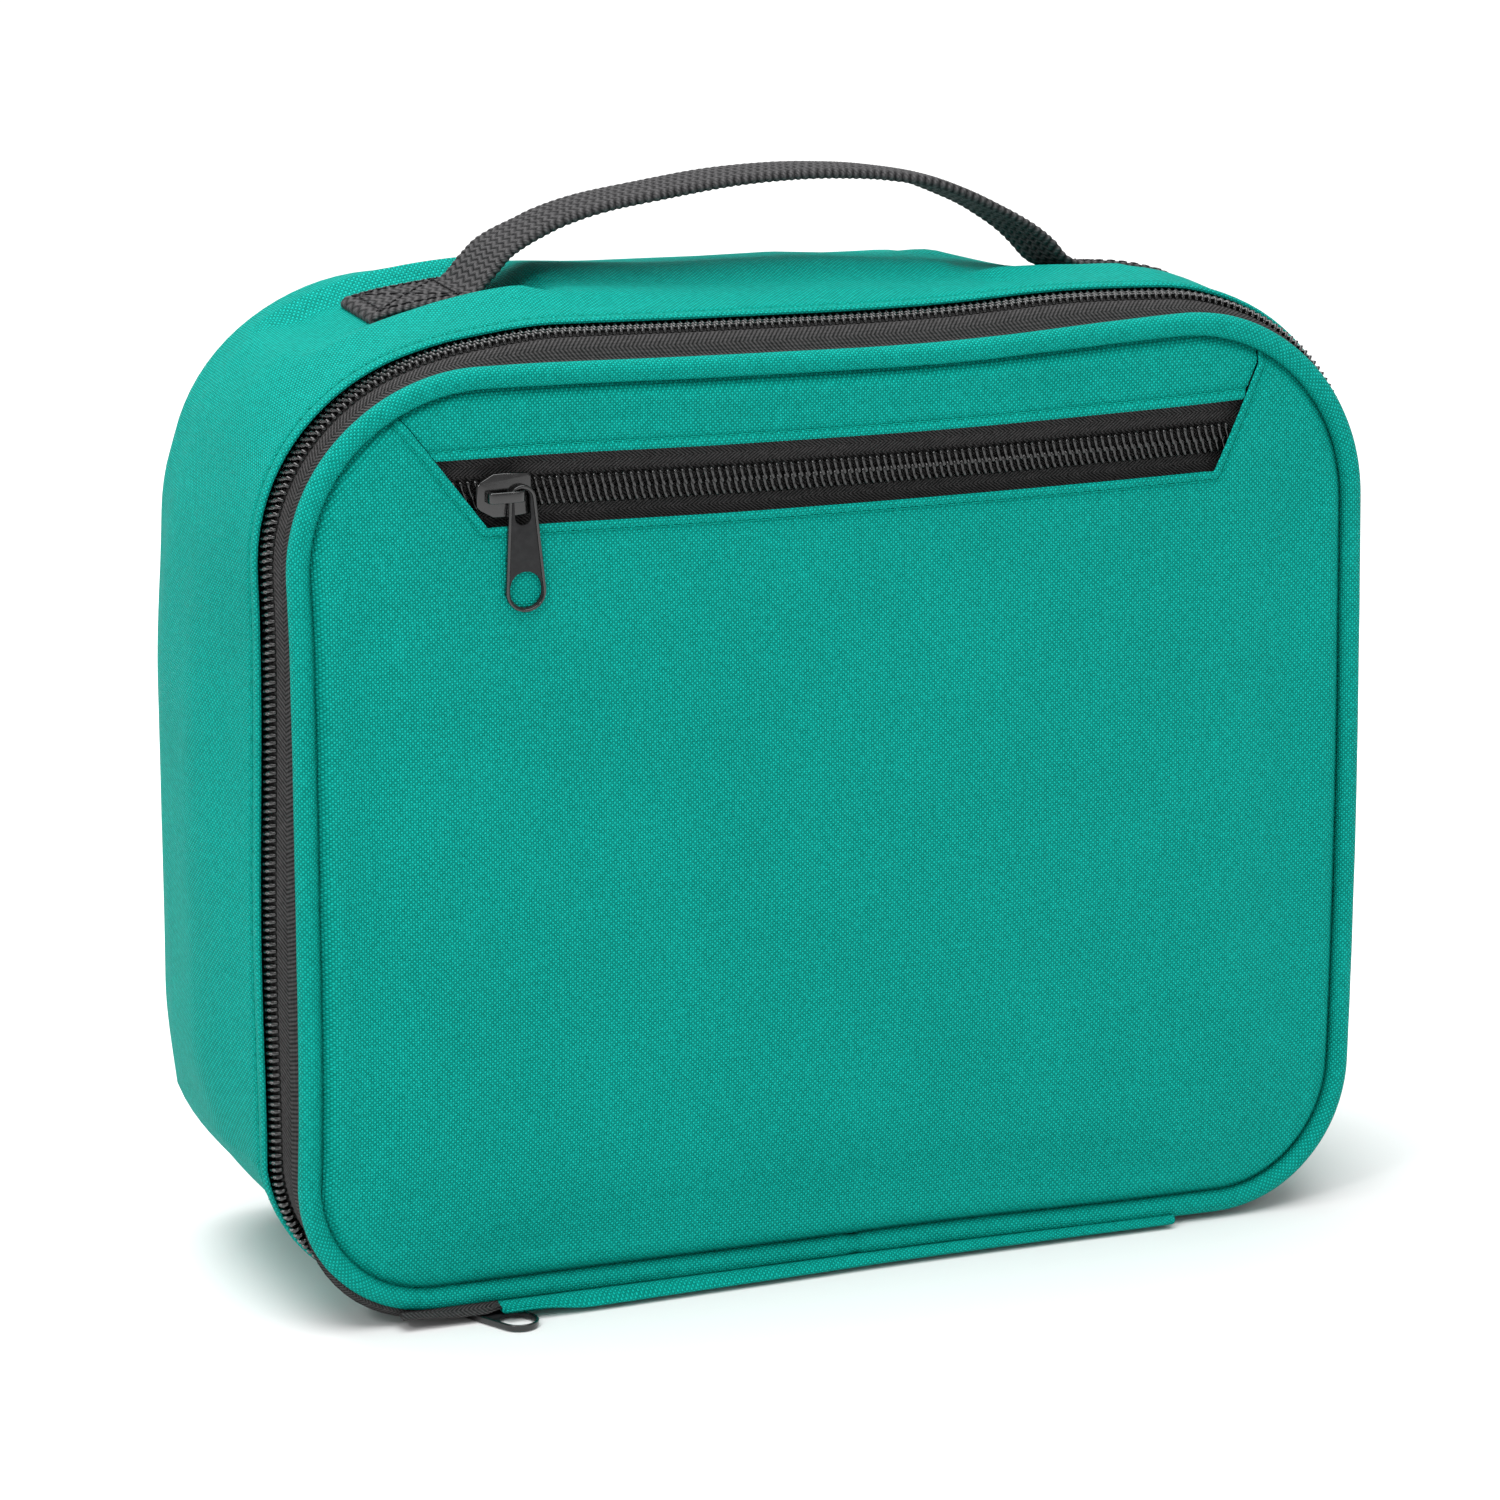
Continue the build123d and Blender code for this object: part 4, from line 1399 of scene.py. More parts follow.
    def seams(self, shift: Array, depths: Array, outward: Array) -> None:
        """Sew the row behind the mouth.

        Args:
            shift: Moves of the wall's profile.
            depths: The y values of that profile.
            outward: Its outward offsets.
        """
        where, out, _ = BAG.ring()
        column = int(np.argmin(np.abs(depths[:30] + 24.3)))
        grow = outward[column] + 0.12
        y = np.full(len(where), depths[column])
        line = np.stack([where[:, 0] + out[:, 0] * grow, y, where[:, 1] + out[:, 1] * grow], 1)
        line = line + shift[:, column]
        keep = line[STEPS[0]:len(where) - STEPS[0] + 1]
        dress(stitches("mouth_topstitch", [keep], TEAL_THREAD, Across.BACKWARD), TEAL_THREAD, "bag", "thread")

    def inside(self) -> None:
        """Build the lining and the bound edge."""
        inner, edge = self.lining, -24.5
        radius = 14.0 - inner
        turn = np.linspace(0.0, math.pi / 2, 7)
        rim = BACK_Y - 14.0
        outer = [(-inner, y) for y in np.linspace(edge, rim, 12)]
        outer += [(-inner - radius * (1 - math.cos(a)), rim + radius * math.sin(a)) for a in turn[1:]]
        inner_side = [(g - (0.6 if k < 12 else 0.5), y - (0.0 if k < 12 else 0.5))
                      for k, (g, y) in enumerate(outer)][::-1]
        depths = np.clip([y for _, y in outer + inner_side], edge, self.seam)
        give = self.lining_shift(depths)
        wall = Sweep("lining_wall", fixed(outer + inner_side), BAG).make(give)
        dress(wall, FOIL, "bag", "foil_liner", "shell_liner")
        outline = BAG.grown(-13.6)
        panel = Panel("lining_back", outline, lambda x, z: np.full_like(x, rim + radius), 0.6, -1.2, 1.5)
        back = panel.make()
        self.follow(back, outline, give[:, len(outer) - 1])
        dress(back, FOIL, "bag", "foil_liner")
        bound = [(-5.75, edge + 8.6), (-5.75, edge), (-5.9, edge - 0.9), (-6.8, edge - 1.3),
                 (-7.7, edge - 0.9), (-7.85, edge), (-7.75, edge + 8.6), (-6.8, edge + 9.1)]
        held = self.lining_shift(np.array([y for _, y in bound]))
        dress(Sweep("mouth_binding_tape", fixed(bound), BAG).make(held), BLACK_TAPE, "bag", "binding_tape",
              "mouth_binding")


@dataclass
class Panel:
    """Sheet stretched inside an outline, closed with its own thickness."""

    name: str
    outline: Outline
    face: Callable[[Array, Array], Array]
    thickness: float
    outward: float
    swell: float
    fine: int = 1

    def grid(self, fine: int) -> tuple[Array, Array, Array, Array]:
        """Return row heights, column shares, and x and z of the grid.

        Args:
            fine: How many times finer than usual.

        Returns:
            Heights, shares, x and z.
        """
        heights = self.outline.rows(fine)
        shares = np.sin(np.linspace(-1.0, 1.0, 60 * fine + 1) * 1.25) / math.sin(1.25)
        x = self.outline.half_at(heights)[:, None] * shares[None]
        return heights, shares, x, np.repeat(heights[:, None], len(shares), 1)

    def pillow(self) -> Callable[[Array, Array], Array]:
        """Puff the sheet with cloth and return the swelling at any place.

        Returns:
            Function of x and z that gives the swelling in millimetres.
        """
        heights, shares, x, z = self.grid(1)
        keep_r, keep_c = np.arange(0, len(heights), 2), np.arange(0, len(shares), 2)
        if keep_r[-1] != len(heights) - 1:
            keep_r = np.append(keep_r, len(heights) - 1)
        x, z = x[np.ix_(keep_r, keep_c)], z[np.ix_(keep_r, keep_c)]
        points = np.stack([x, self.face(x, z), z], 2)
        held = np.zeros(x.shape, bool)
        held[0], held[-1], held[:, 0], held[:, -1] = True, True, True, True
        moves = np.abs(puff(points, held, 6.0, abs(self.swell) * 1.6)[:, :, 1])
        top = max(float(moves.max()), 1e-6)
        moves = moves / top * abs(self.swell)

        def at(px: Array, pz: Array) -> Array:
            """Swelling in millimetres at x and z.

            Args:
                px: Places across.
                pz: Heights.

            Returns:
                The swelling there.
            """
            share = px / np.maximum(self.outline.half_at(pz), 1e-6)
            rows = np.interp(pz, heights[keep_r], np.arange(len(keep_r)))
            columns = np.interp(share, shares[keep_c], np.arange(len(keep_c)))
            return spread(moves[..., None], rows.ravel(), columns.ravel()).reshape(px.shape)

        return at

    def surface(self) -> Callable[[Array, Array], Array]:
        """Return the finished outer y at any place."""
        swelling = self.pillow()
        return lambda x, z: self.face(x, z) + self.outward * swelling(x, z)

    def make(self) -> bpy.types.Object:
        """Build the closed panel.

        Returns:
            The panel.
        """
        _, _, x, z = self.grid(self.fine)
        y = self.surface()(x, z)
        away = math.copysign(1.0, self.outward)
        front = np.stack([x, y, z], 2)
        mesh = grid_mesh(self.name, front, np.stack([x, z], 2))
        return thicken(mesh, self.thickness, away)


def thicken(piece: bpy.types.Object, thickness: float, away: float, edge: float = 0.3) -> bpy.types.Object:
    """Give an open sheet its thickness behind its outer face and round its edges.

    Args:
        piece: The sheet.
        thickness: In millimetres.
        away: Sign of y on the outer side.
        edge: Width of the rounded edge.

    Returns:
        The same object, closed.
    """
    normal = np.zeros(len(piece.data.polygons) * 3, np.float32)
    piece.data.polygons.foreach_get("normal", normal)
    if normal[1::3].sum() * away < 0:
        piece.data.flip_normals()
    solid = piece.modifiers.new("thickness", "SOLIDIFY")
    solid.thickness = thickness * MM
    solid.offset = -1.0
    soft = piece.modifiers.new("edge", "BEVEL")
    soft.width = edge * MM
    soft.segments = 2
    soft.limit_method = "ANGLE"
    soft.angle_limit = math.radians(50.0)
    return settle(piece)


# ---- lid ------------------------------------------------------------------------------------------
@dataclass
class LidFront:
    """Lower and upper front panels with the zip window between them."""

    front: float = -42.5
    inset: float = 2.3
    low: float = 172.5
    high: float = 187.0
    left: float = -79.2
    right: float = 84.9
    slope_left: float = 0.73
    slope_right: float = 0.52
    stitch: float = 2.0
    swell: float = 1.7

    def build(self) -> None:
        """Build the panels and their topstitching."""
        outline = BEAD.grown(-self.inset)

        def face(x: Array, z: Array) -> Array:
            """Outer y of the front before it swells.

            Args:
                x: Places across.
                z: Heights.

            Returns:
                The y values.
            """
            inside = outline.inside(x, z)
            groove = 2.6 * np.exp(-((inside / 1.5) ** 2)) + 0.4 * np.exp(-((inside / 6.0) ** 2))
            return self.front + groove

        panel = Panel("front", outline, face, 1.0, -1.0, self.swell)
        surface = panel.surface()
        _, _, x, z = panel.grid(2)
        for name, setback, node in (("pocket_front_cloth", 0.0, "pocket_front_panel"),
                                    ("upper_front_cloth", 0.35, "upper_front_panel")):
            sheet = grid_mesh(name, np.stack([x, surface(x, z) + setback, z], 2), np.stack([x, z], 2))
            self.cut(sheet, setback > 0)
            thicken(sheet, 0.9, -1.0, 0.28)
            replaced = (node, "lid_seam_allowance") if setback else (node,)
            dress(sheet, TEAL, "lid", "teal_fabric", *replaced)
        lines = self.seam_lines(surface)
        dress(stitches("window_topstitch", lines, TEAL_THREAD, Across.UP, 2.1, 0.7, 0.2), TEAL_THREAD, "lid",
              "thread")

    def corner(self, side: int, z: float, margin: float) -> float:
        """Return the x of the window's slanted edge at a height, widened by a margin.

        Args:
            side: Negative for the left edge.
            z: Height in millimetres.
            margin: Widening in millimetres.

        Returns:
            The x in millimetres.
        """
        if side < 0:
            return self.left - margin - self.slope_left * (z - self.low)
        return self.right + margin + self.slope_right * (z - self.low)

    def cut(self, sheet: bpy.types.Object, upper: bool) -> None:
        """Cut a full sheet down to the lower or the upper panel, with extra rows along its stitching.

        Args:
            sheet: The full sheet.
            upper: Whether the upper panel is wanted.
        """
        work = bmesh.new()
        work.from_mesh(sheet.data)
        level = self.high if upper else self.low
        sign = 1.0 if upper else -1.0
        offsets = (0.0, 0.35, 0.8, self.stitch - 0.5, self.stitch, self.stitch + 0.5)
        for offset in offsets:
            height = (level + sign * offset) * MM
            bmesh.ops.bisect_plane(work, geom=work.verts[:] + work.edges[:] + work.faces[:],
                                   plane_co=(0, 0, height), plane_no=(0, 0, 1))
        outer = -0.2 if upper else 0.0
        for side, slope in ((-1, self.slope_left), (1, self.slope_right)):
            for offset in (outer,) if upper else offsets:
                faces = [f for f in work.faces if f.calc_center_median().z > (self.low - 4.0) * MM]
                around = {v for f in faces for v in f.verts} | {e for f in faces for e in f.edges}
                geometry = list(around) + faces
                spot = (self.corner(side, self.low, offset * math.hypot(1, slope)) * MM, 0, self.low * MM)
                bmesh.ops.bisect_plane(work, geom=geometry, plane_co=spot, plane_no=(1, 0, -side * slope))
        doomed = []
        for face in work.faces:
            centre = face.calc_center_median() / MM
            in_window = (centre.z > level and self.corner(-1, centre.z, outer) < centre.x
                         < self.corner(1, centre.z, outer))
            if in_window != upper:
                doomed.append(face)
        bmesh.ops.delete(work, geom=doomed, context="FACES")
        for vertex in work.verts:
            x, z = vertex.co.x / MM, vertex.co.z / MM
            gap = sign * (z - level)
            if upper:
                depth = gap
            else:
                left = (self.corner(-1, z, 0) - x) / math.hypot(1, self.slope_left)
                right = (x - self.corner(1, z, 0)) / math.hypot(1, self.slope_right)
                depth = max(gap, left, right)
            dip = (0.45 * math.exp(-(((depth - self.stitch) / 0.45) ** 2))
                   - 0.45 * math.exp(-((depth / 1.5) ** 4)))
            roll = 0.4 * math.exp(-((depth / 0.3) ** 2))
            vertex.co.y += (dip + roll) * MM
        work.to_mesh(sheet.data)
        work.free()

    def seam_lines(self, surface: Callable[[Array, Array], Array]) -> list[Array]:
        """Return the stitched lines round the window.

        Args:
            surface: Outer y of the front at x and z.

        Returns:
            One array of points a line.
        """
        margin = self.stitch
        low = self.low - margin
        corner_left = self.corner(-1, low, margin * math.hypot(1, self.slope_left))
        corner_right = self.corner(1, low, margin * math.hypot(1, self.slope_right))
        top = 194.5
        rows = []
        up_left = self.corner(-1, top, margin * math.hypot(1, self.slope_left))
        up_right = self.corner(1, top, margin * math.hypot(1, self.slope_right))
        for start, end in (((up_left, top), (corner_left, low)), ((corner_left, low), (corner_right, low)),
                           ((corner_right, low), (up_right, top)),
                           ((self.corner(-1, self.high + margin, -1.5), self.high + margin),
                            (self.corner(1, self.high + margin, -1.5), self.high + margin))):
            x, z = np.linspace(start[0], end[0], 60), np.linspace(start[1], end[1], 60)
            lift = 0.2 if start[1] != self.high + margin else 0.55
            rows.append(np.stack([x, surface(x, z) + lift, z], 1))
        return rows


@dataclass
class Piping:
    """Cloth-covered cord round the lid, with its join under the front."""

    radius: float = 2.4
    join_x: float = 4.0

    def build(self) -> None:
        """Build the bead and its join."""
        turn = np.linspace(0.0, 2 * math.pi, 20, endpoint=False)
        where, _, _ = BEAD.ring(2)
        lumps = wave(np.stack([where[:, 0], 0 * where[:, 0], where[:, 1]], 1), 11.0, 2.0) * 0.05
        join_dip = -0.5 * np.exp(-(((where[:, 0] - self.join_x) / 1.1) ** 2)) * (where[:, 1] < 20)
        radius = self.radius + lumps + join_dip
        grow = radius[:, None] * np.cos(turn)[None]
        depth = BEAD_Y + radius[:, None] * np.sin(turn)[None]
        made = Sweep("edge_piping_cloth", lambda w, o: (grow, depth), BEAD, fine=2).make()
        dress(made, TEAL, "lid", "teal_fabric", "edge_piping", "piping_cord")


@dataclass
class MainZip:
    """Coil zip round three sides: two tapes, two rows of teeth and the end stops."""

    coil_top: float = -0.42
    lid_start: float = 77.5
    lid_end: float = -96.3
    rear_half: float = 79.5

    def line(self, start: float, end: float) -> Array:
        """Return the chain's middle line between two x on the lower side, going anticlockwise.

        Args:
            start: The x it starts from.
            end: The x it ends at.

        Returns:
            Points in millimetres.
        """
        where, _, _ = CHAIN.grown(self.coil_top).ring(2)
        low = where[:, 1] < 20
        begin = np.flatnonzero(low & (where[:, 0] >= start))[0]
        finish = np.flatnonzero(low & (where[:, 0] <= end))[-1 if end > -90 else 0]
        picks = where[begin:] if end > -90 else where[begin:finish + 1]
        if end > -90:
            kept = (picks[:, 1] < 8) & (picks[:, 0] < 0) & (picks[:, 0] <= end)
            picks = picks[:int(np.flatnonzero(kept)[-1]) + 1]
        turn = (np.clip((40.0 - picks[:, 1]) / 35.0, 0.0, 1.0)
                * np.clip((np.abs(picks[:, 0]) - 90.0) / 34.0, 0.0, 1.0))
        lift = crest(picks)
        low_left = smooth_step(picks[:, 0], -120.0, -80.0) * (picks[:, 1] < 60)
        y = ROW_Y + (CHAIN_Y - ROW_Y) * low_left
        x = picks[:, 0] - lift * (picks[:, 1] < 150) + np.sign(picks[:, 0]) * 1.2 * turn
        return np.stack([x, y, picks[:, 1] + lift * smooth_step(picks[:, 1], 150.0, 190.0) - 1.2 * turn], 1)

    def build(self) -> None:
        """Build both halves."""
        chain = CoilChain()
        rear = stretch(self.line(self.rear_half, -self.rear_half), chain.pitch)
        dress(chain.half("rear_zip_teeth", rear, Across.FORWARD), BLACK_COIL, "bag", "zip_coil",
              "rear_zip_coil")
        lid = stretch(self.line(self.lid_start, self.lid_end), chain.pitch, 0.5)
        dress(chain.half("lid_zip_teeth", lid[::-1], Across.BACKWARD), BLACK_COIL, "lid", "zip_coil",
              "lid_zip_coil")
        for name in ("zip_stop_left", "zip_stop_right"):
            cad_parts[name].data.materials.clear()
            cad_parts[name].data.materials.append(WARDROBE(BLACK_COIL))
        self.tapes()

    def tapes(self) -> None:
        """Build the tape that goes under the wall and the one that slopes to the piping."""
        count = len(CHAIN.ring()[0])
        rear = [(-2.0, -32.1), (-2.0, -30.0), (-2.0, -28.0), (-2.1, -24.7), (-2.7, -24.7), (-2.6, -28.0),
                (-2.6, -30.0), (-2.6, -32.1)]
        first = STEPS[0] - 4
        ring, normal, _ = CHAIN.ring()
        lift = np.stack([normal[:, 0], 0 * normal[:, 0], normal[:, 1]], 1)[:, None]
        lift = lift * crest(ring)[:, None, None]
        made = Sweep("rear_zip_tape_cloth", fixed(rear), CHAIN, first, count - first).make(lift)
        dress(made, BLACK_TAPE, "bag", "zip_tape", "rear_zip_tape")
        chain, chain_out, run = CHAIN.ring()
        bead, bead_out, _ = BEAD.ring()
        rows = [(0.0, -1.6, -31.5), (0.0, -1.6, -33.2), (0.0, -1.5, -34.5), (0.25, -1.2, -35.6),
                (0.6, -0.6, -36.7), (0.9, 0.3, -37.6), (1.0, 1.3, -38.1), (1.0, 0.1, -38.5),
                (1.0, -0.6, -38.0), (0.9, -0.8, -37.0), (0.6, -1.5, -36.1), (0.25, -2.0, -34.9),
                (0.0, -2.2, -34.2), (0.0, -2.2, -31.5)]
        points = np.zeros((count, len(rows), 3))
        turned = smooth_step(-bead[:, 0], 70.0, 100.0) * (1.0 - smooth_step(bead[:, 1], 6.0, 42.0))
        for k, (share, grow, y) in enumerate(rows):
            base = chain * (1 - share) + bead * share
            out = chain_out * (1 - share) + bead_out * share
            reach = grow + crest(chain) * (1 - share) + 2.5 * share * turned
            points[:, k, 0] = base[:, 0] + out[:, 0] * reach
            points[:, k, 1] = y - 3.0 * share * turned
            points[:, k, 2] = base[:, 1] + out[:, 1] * reach
        along = np.cumsum([0.0, 1.7, 1.3, 1.1, 1.2, 1.3, 1.2, 1.2, 0.8, 0.9, 1.2, 1.1, 0.8, 2.6, 0.6])
        cloth = np.stack(np.meshgrid(run, along, indexing="ij"), 2)
        kept = (chain[:, 1] < 20) & (chain[:, 0] <= self.lid_end)
        span = np.arange(first, int(np.flatnonzero(kept)[-1]) + 1)
        lid = grid_mesh("lid_zip_tape_cloth", points[span], cloth[span], (False, True), True)
        dress(lid, BLACK_TAPE, "lid", "zip_tape", "lid_zip_tape")


@dataclass
class HingeStrip:
    """Cloth hinge from the base to the underside of the piping, and the tape end beside it."""

    def build(self) -> None:
        """Build the strip and the visible end of the zip tape."""
        spine = np.array([(-26.0, 0.55), (-34.0, 0.5), (-40.0, 0.5), (-43.2, 0.9), (-44.5, 1.9), (-44.2, 3.0),
                          (-42.9, 3.8), (-41.2, 3.6)])
        rows = cubic(spine, np.linspace(0, len(spine) - 1, 33))
        self.strip("hinge_strip_cloth", rows, -STRIP_HALF, STRIP_HALF + 3.0, 0.9, TEAL, "teal_fabric",
                   "hinge_strip")
        flap = np.array([(-37.5, 1.9), (-40.2, 1.9), (-42.6, 2.1), (-43.3, 2.9), (-42.4, 3.8), (-40.5, 3.9)])
        rows = cubic(flap, np.linspace(0, 5, 20))
        self.strip("zip_tape_end", rows, -99.5, -STRIP_HALF - 0.1, 0.6, BLACK_TAPE, "zip_tape")

    @staticmethod
    def strip(name: str, rows: Array, left: float, right: float, thickness: float, finish: Any, slot: str,
              *nodes: str) -> None:
        """Build one strip along x.

        Args:
            name: Piece name.
            rows: Its outer line as y and z.
            left: Lowest x.
            right: Highest x.
            thickness: In millimetres.
            finish: Its finish.
            slot: Its material slot.
            *nodes: CAD nodes it stands for.
        """
        steps = np.linspace(left, right, max(8, int((right - left) / 2.5)))
        along = np.concatenate([[0.0], np.cumsum(np.linalg.norm(np.diff(rows, axis=0), axis=1))])
        x, _ = np.meshgrid(steps, along, indexing="ij")
        ripple = 0.12 * np.sin(steps / 7.0)[:, None] * smooth_step(along, 2.0, 8.0)[None]
        low = 1.0 - smooth_step(rows[:, 1], 1.5, 3.6)
        bulge = 3.2 * (1.0 - smooth_step(steps, -76.0, 40.0))[:, None]
        bulge = bulge * smooth_step(-rows[:, 0], 36.0, 43.0) * low
        rise = 1.5 * (1.0 - smooth_step(steps, -70.0, -58.0))[:, None] * (steps > -78.0)[:, None] * low[None]
        rise = rise + 1.3 * (1.0 - smooth_step(steps, -99.5, -86.0))[:, None] * (rows[:, 1] < 3.5)[None]
        points = np.stack([x, rows[None, :, 0] + ripple * 0.5 - bulge, rows[None, :, 1] + rise], 2)
        cloth = np.stack(np.meshgrid(steps, along, indexing="ij"), 2)
        sheet = grid_mesh(name, points, cloth)
        thicken(sheet, thickness, -1.0, 0.2)
        dress(sheet, finish, "bag", slot, *nodes)
        if nodes:
            (right - left) * MM


@dataclass
class PocketZip:
    """Straight zip behind the window of the front."""

    middle: float = 179.0
    surface: float = -42.3
    left: float = -92.0
    right: float = 96.0

    def build(self) -> None:
        """Build both tapes and both rows of teeth."""
        chain = CoilChain(2.9, 1.6, 0.46)
        y = self.surface + 0.42
        for name, sign, node in (("pocket_teeth_lower", 1, "pocket_coil_lower"),
                                 ("pocket_teeth_upper", -1, "pocket_coil_upper")):
            ends = (-86.0, 90.0) if sign > 0 else (90.0, -86.0)
            x = np.linspace(ends[0], ends[1], 120)
            line = np.stack([x, np.full_like(x, y), np.full_like(x, self.middle)], 1)
            line = stretch(line, chain.pitch, 0.0 if sign > 0 else 0.5)
            across = Across.UP if sign > 0 else Across.DOWN
            dress(chain.half(name, line, across), BLACK_COIL, "lid", "zip_coil", node)
        for name, low, high, node in (("pocket_tape_cloth_lower", 165.2, 178.9, "pocket_tape_lower"),
                                      ("pocket_tape_cloth_upper", 179.1, 192.8, "pocket_tape_upper")):
            x, z = np.meshgrid(np.linspace(self.left, self.right, 90), np.linspace(low, high, 12),
                               indexing="ij")
            sag = 0.12 * np.sin(x / 9.0) * np.abs(z - self.middle) / 10.0
            points = np.stack([x, self.surface + 2.0 + sag, z], 2)
            sheet = grid_mesh(name, points, np.stack([x, z], 2))
            dress(thicken(sheet, 0.55, -1.0, 0.15), BLACK_TAPE, "lid", "zip_tape", node)


@dataclass
class LidPad:
    """Padded rear of the lid: backing of the pocket, foam, foil and its bound edge."""

    front: float = -36.9
    back: float = -31.4

    def build(self) -> None:
        """Build the pad and its binding."""
        outline = CHAIN.grown(-7.15)
        pad = Panel("lid_pad_foil", outline, lambda x, z: np.full_like(x, self.back), 0.6, 1.0, 2.4).make()
        dress(pad, FOIL, "lid", "foil_liner", "lid_liner", "lid_foam")
        panel = Panel("lid_pad_cover", outline, lambda x, z: np.full_like(x, self.front), 0.7, -0.01, 0.0)
        cover = panel.make()
        dress(cover, TEAL, "lid", "pocket_lining", "pocket_back_panel")
        edge = [(-5.2, self.front), (-5.2, self.back + 0.3), (-5.6, self.back + 1.0), (-6.6, self.back + 1.3),
                (-9.5, self.back + 1.2), (-12.5, self.back + 1.1), (-13.0, self.back + 0.6),
                (-12.4, self.back - 0.3), (-7.6, self.back - 0.4), (-7.1, self.front),
                (-6.2, self.front - 0.1)]
        dress(Sweep("lid_binding_tape", fixed(edge), CHAIN).make(), BLACK_TAPE, "lid", "binding_tape",
              "lid_binding")


# ---- sliders and pullers --------------------------------------------------------------------------
def wrap(first: tuple[float, float], second: tuple[float, float],
         steps: int = 28) -> list[tuple[float, float]]:
    """Outline that wraps two circles on the x axis, each given as x and radius.

    Args:
        first: The circle on the left.
        second: The circle on the right.
        steps: Segments on each arc.

    Returns:
        Points of the outline, anticlockwise.
    """
    points = []
    lean = math.asin((first[1] - second[1]) / (second[0] - first[0]))
    for k in range(steps + 1):
        angle = math.pi / 2 - lean + (math.pi + 2 * lean) * k / steps
        points.append((first[0] + first[1] * math.cos(angle), first[1] * math.sin(angle)))
    for k in range(steps + 1):
        angle = -math.pi / 2 + lean + (math.pi - 2 * lean) * k / steps
        points.append((second[0] + second[1] * math.cos(angle), second[1] * math.sin(angle)))
    return points


def cut_plate(name: str, outlines: Sequence[Sequence[tuple[float, float]]], low: float, high: float,
              rim: float) -> bpy.types.Object:
    """Make a flat plate with holes and rounded rims.

    Args:
        name: Object name.
        outlines: The outer outline first, then the holes.
        low: Lower face.
        high: Upper face.
        rim: Radius of the rims.

    Returns:
        The new object, in the plate's own axes.
    """
    curve = bpy.data.curves.new(name, "CURVE")
    curve.dimensions = "2D"
    curve.fill_mode = "BOTH"
    curve.extrude = ((high - low) / 2 - rim) * MM
    curve.bevel_depth = rim * MM
    curve.bevel_resolution = 2
    curve.offset = -rim * MM
    for outline in outlines:
        spline = curve.splines.new("POLY")
        spline.points.add(len(outline) - 1)
        for point, (x, y) in zip(spline.points, outline):
            point.co = (x * MM, y * MM, 0.0, 1.0)
        spline.use_cyclic_u = True
    holder = bpy.data.objects.new(name, curve)
    bpy.context.scene.collection.objects.link(holder)
    graph = bpy.context.evaluated_depsgraph_get()
    mesh = bpy.data.meshes.new_from_object(holder.evaluated_get(graph))
    bpy.data.objects.remove(holder)
    mesh.transform(Matrix.Translation((0.0, 0.0, (low + high) / 2 * MM)))
    made = new_object(name, mesh)
    work = bmesh.new()
    work.from_mesh(mesh)
    bmesh.ops.remove_doubles(work, verts=work.verts, dist=1e-6)
    bmesh.ops.recalc_face_normals(work, faces=work.faces)
    work.to_mesh(mesh)
    work.free()
    return made


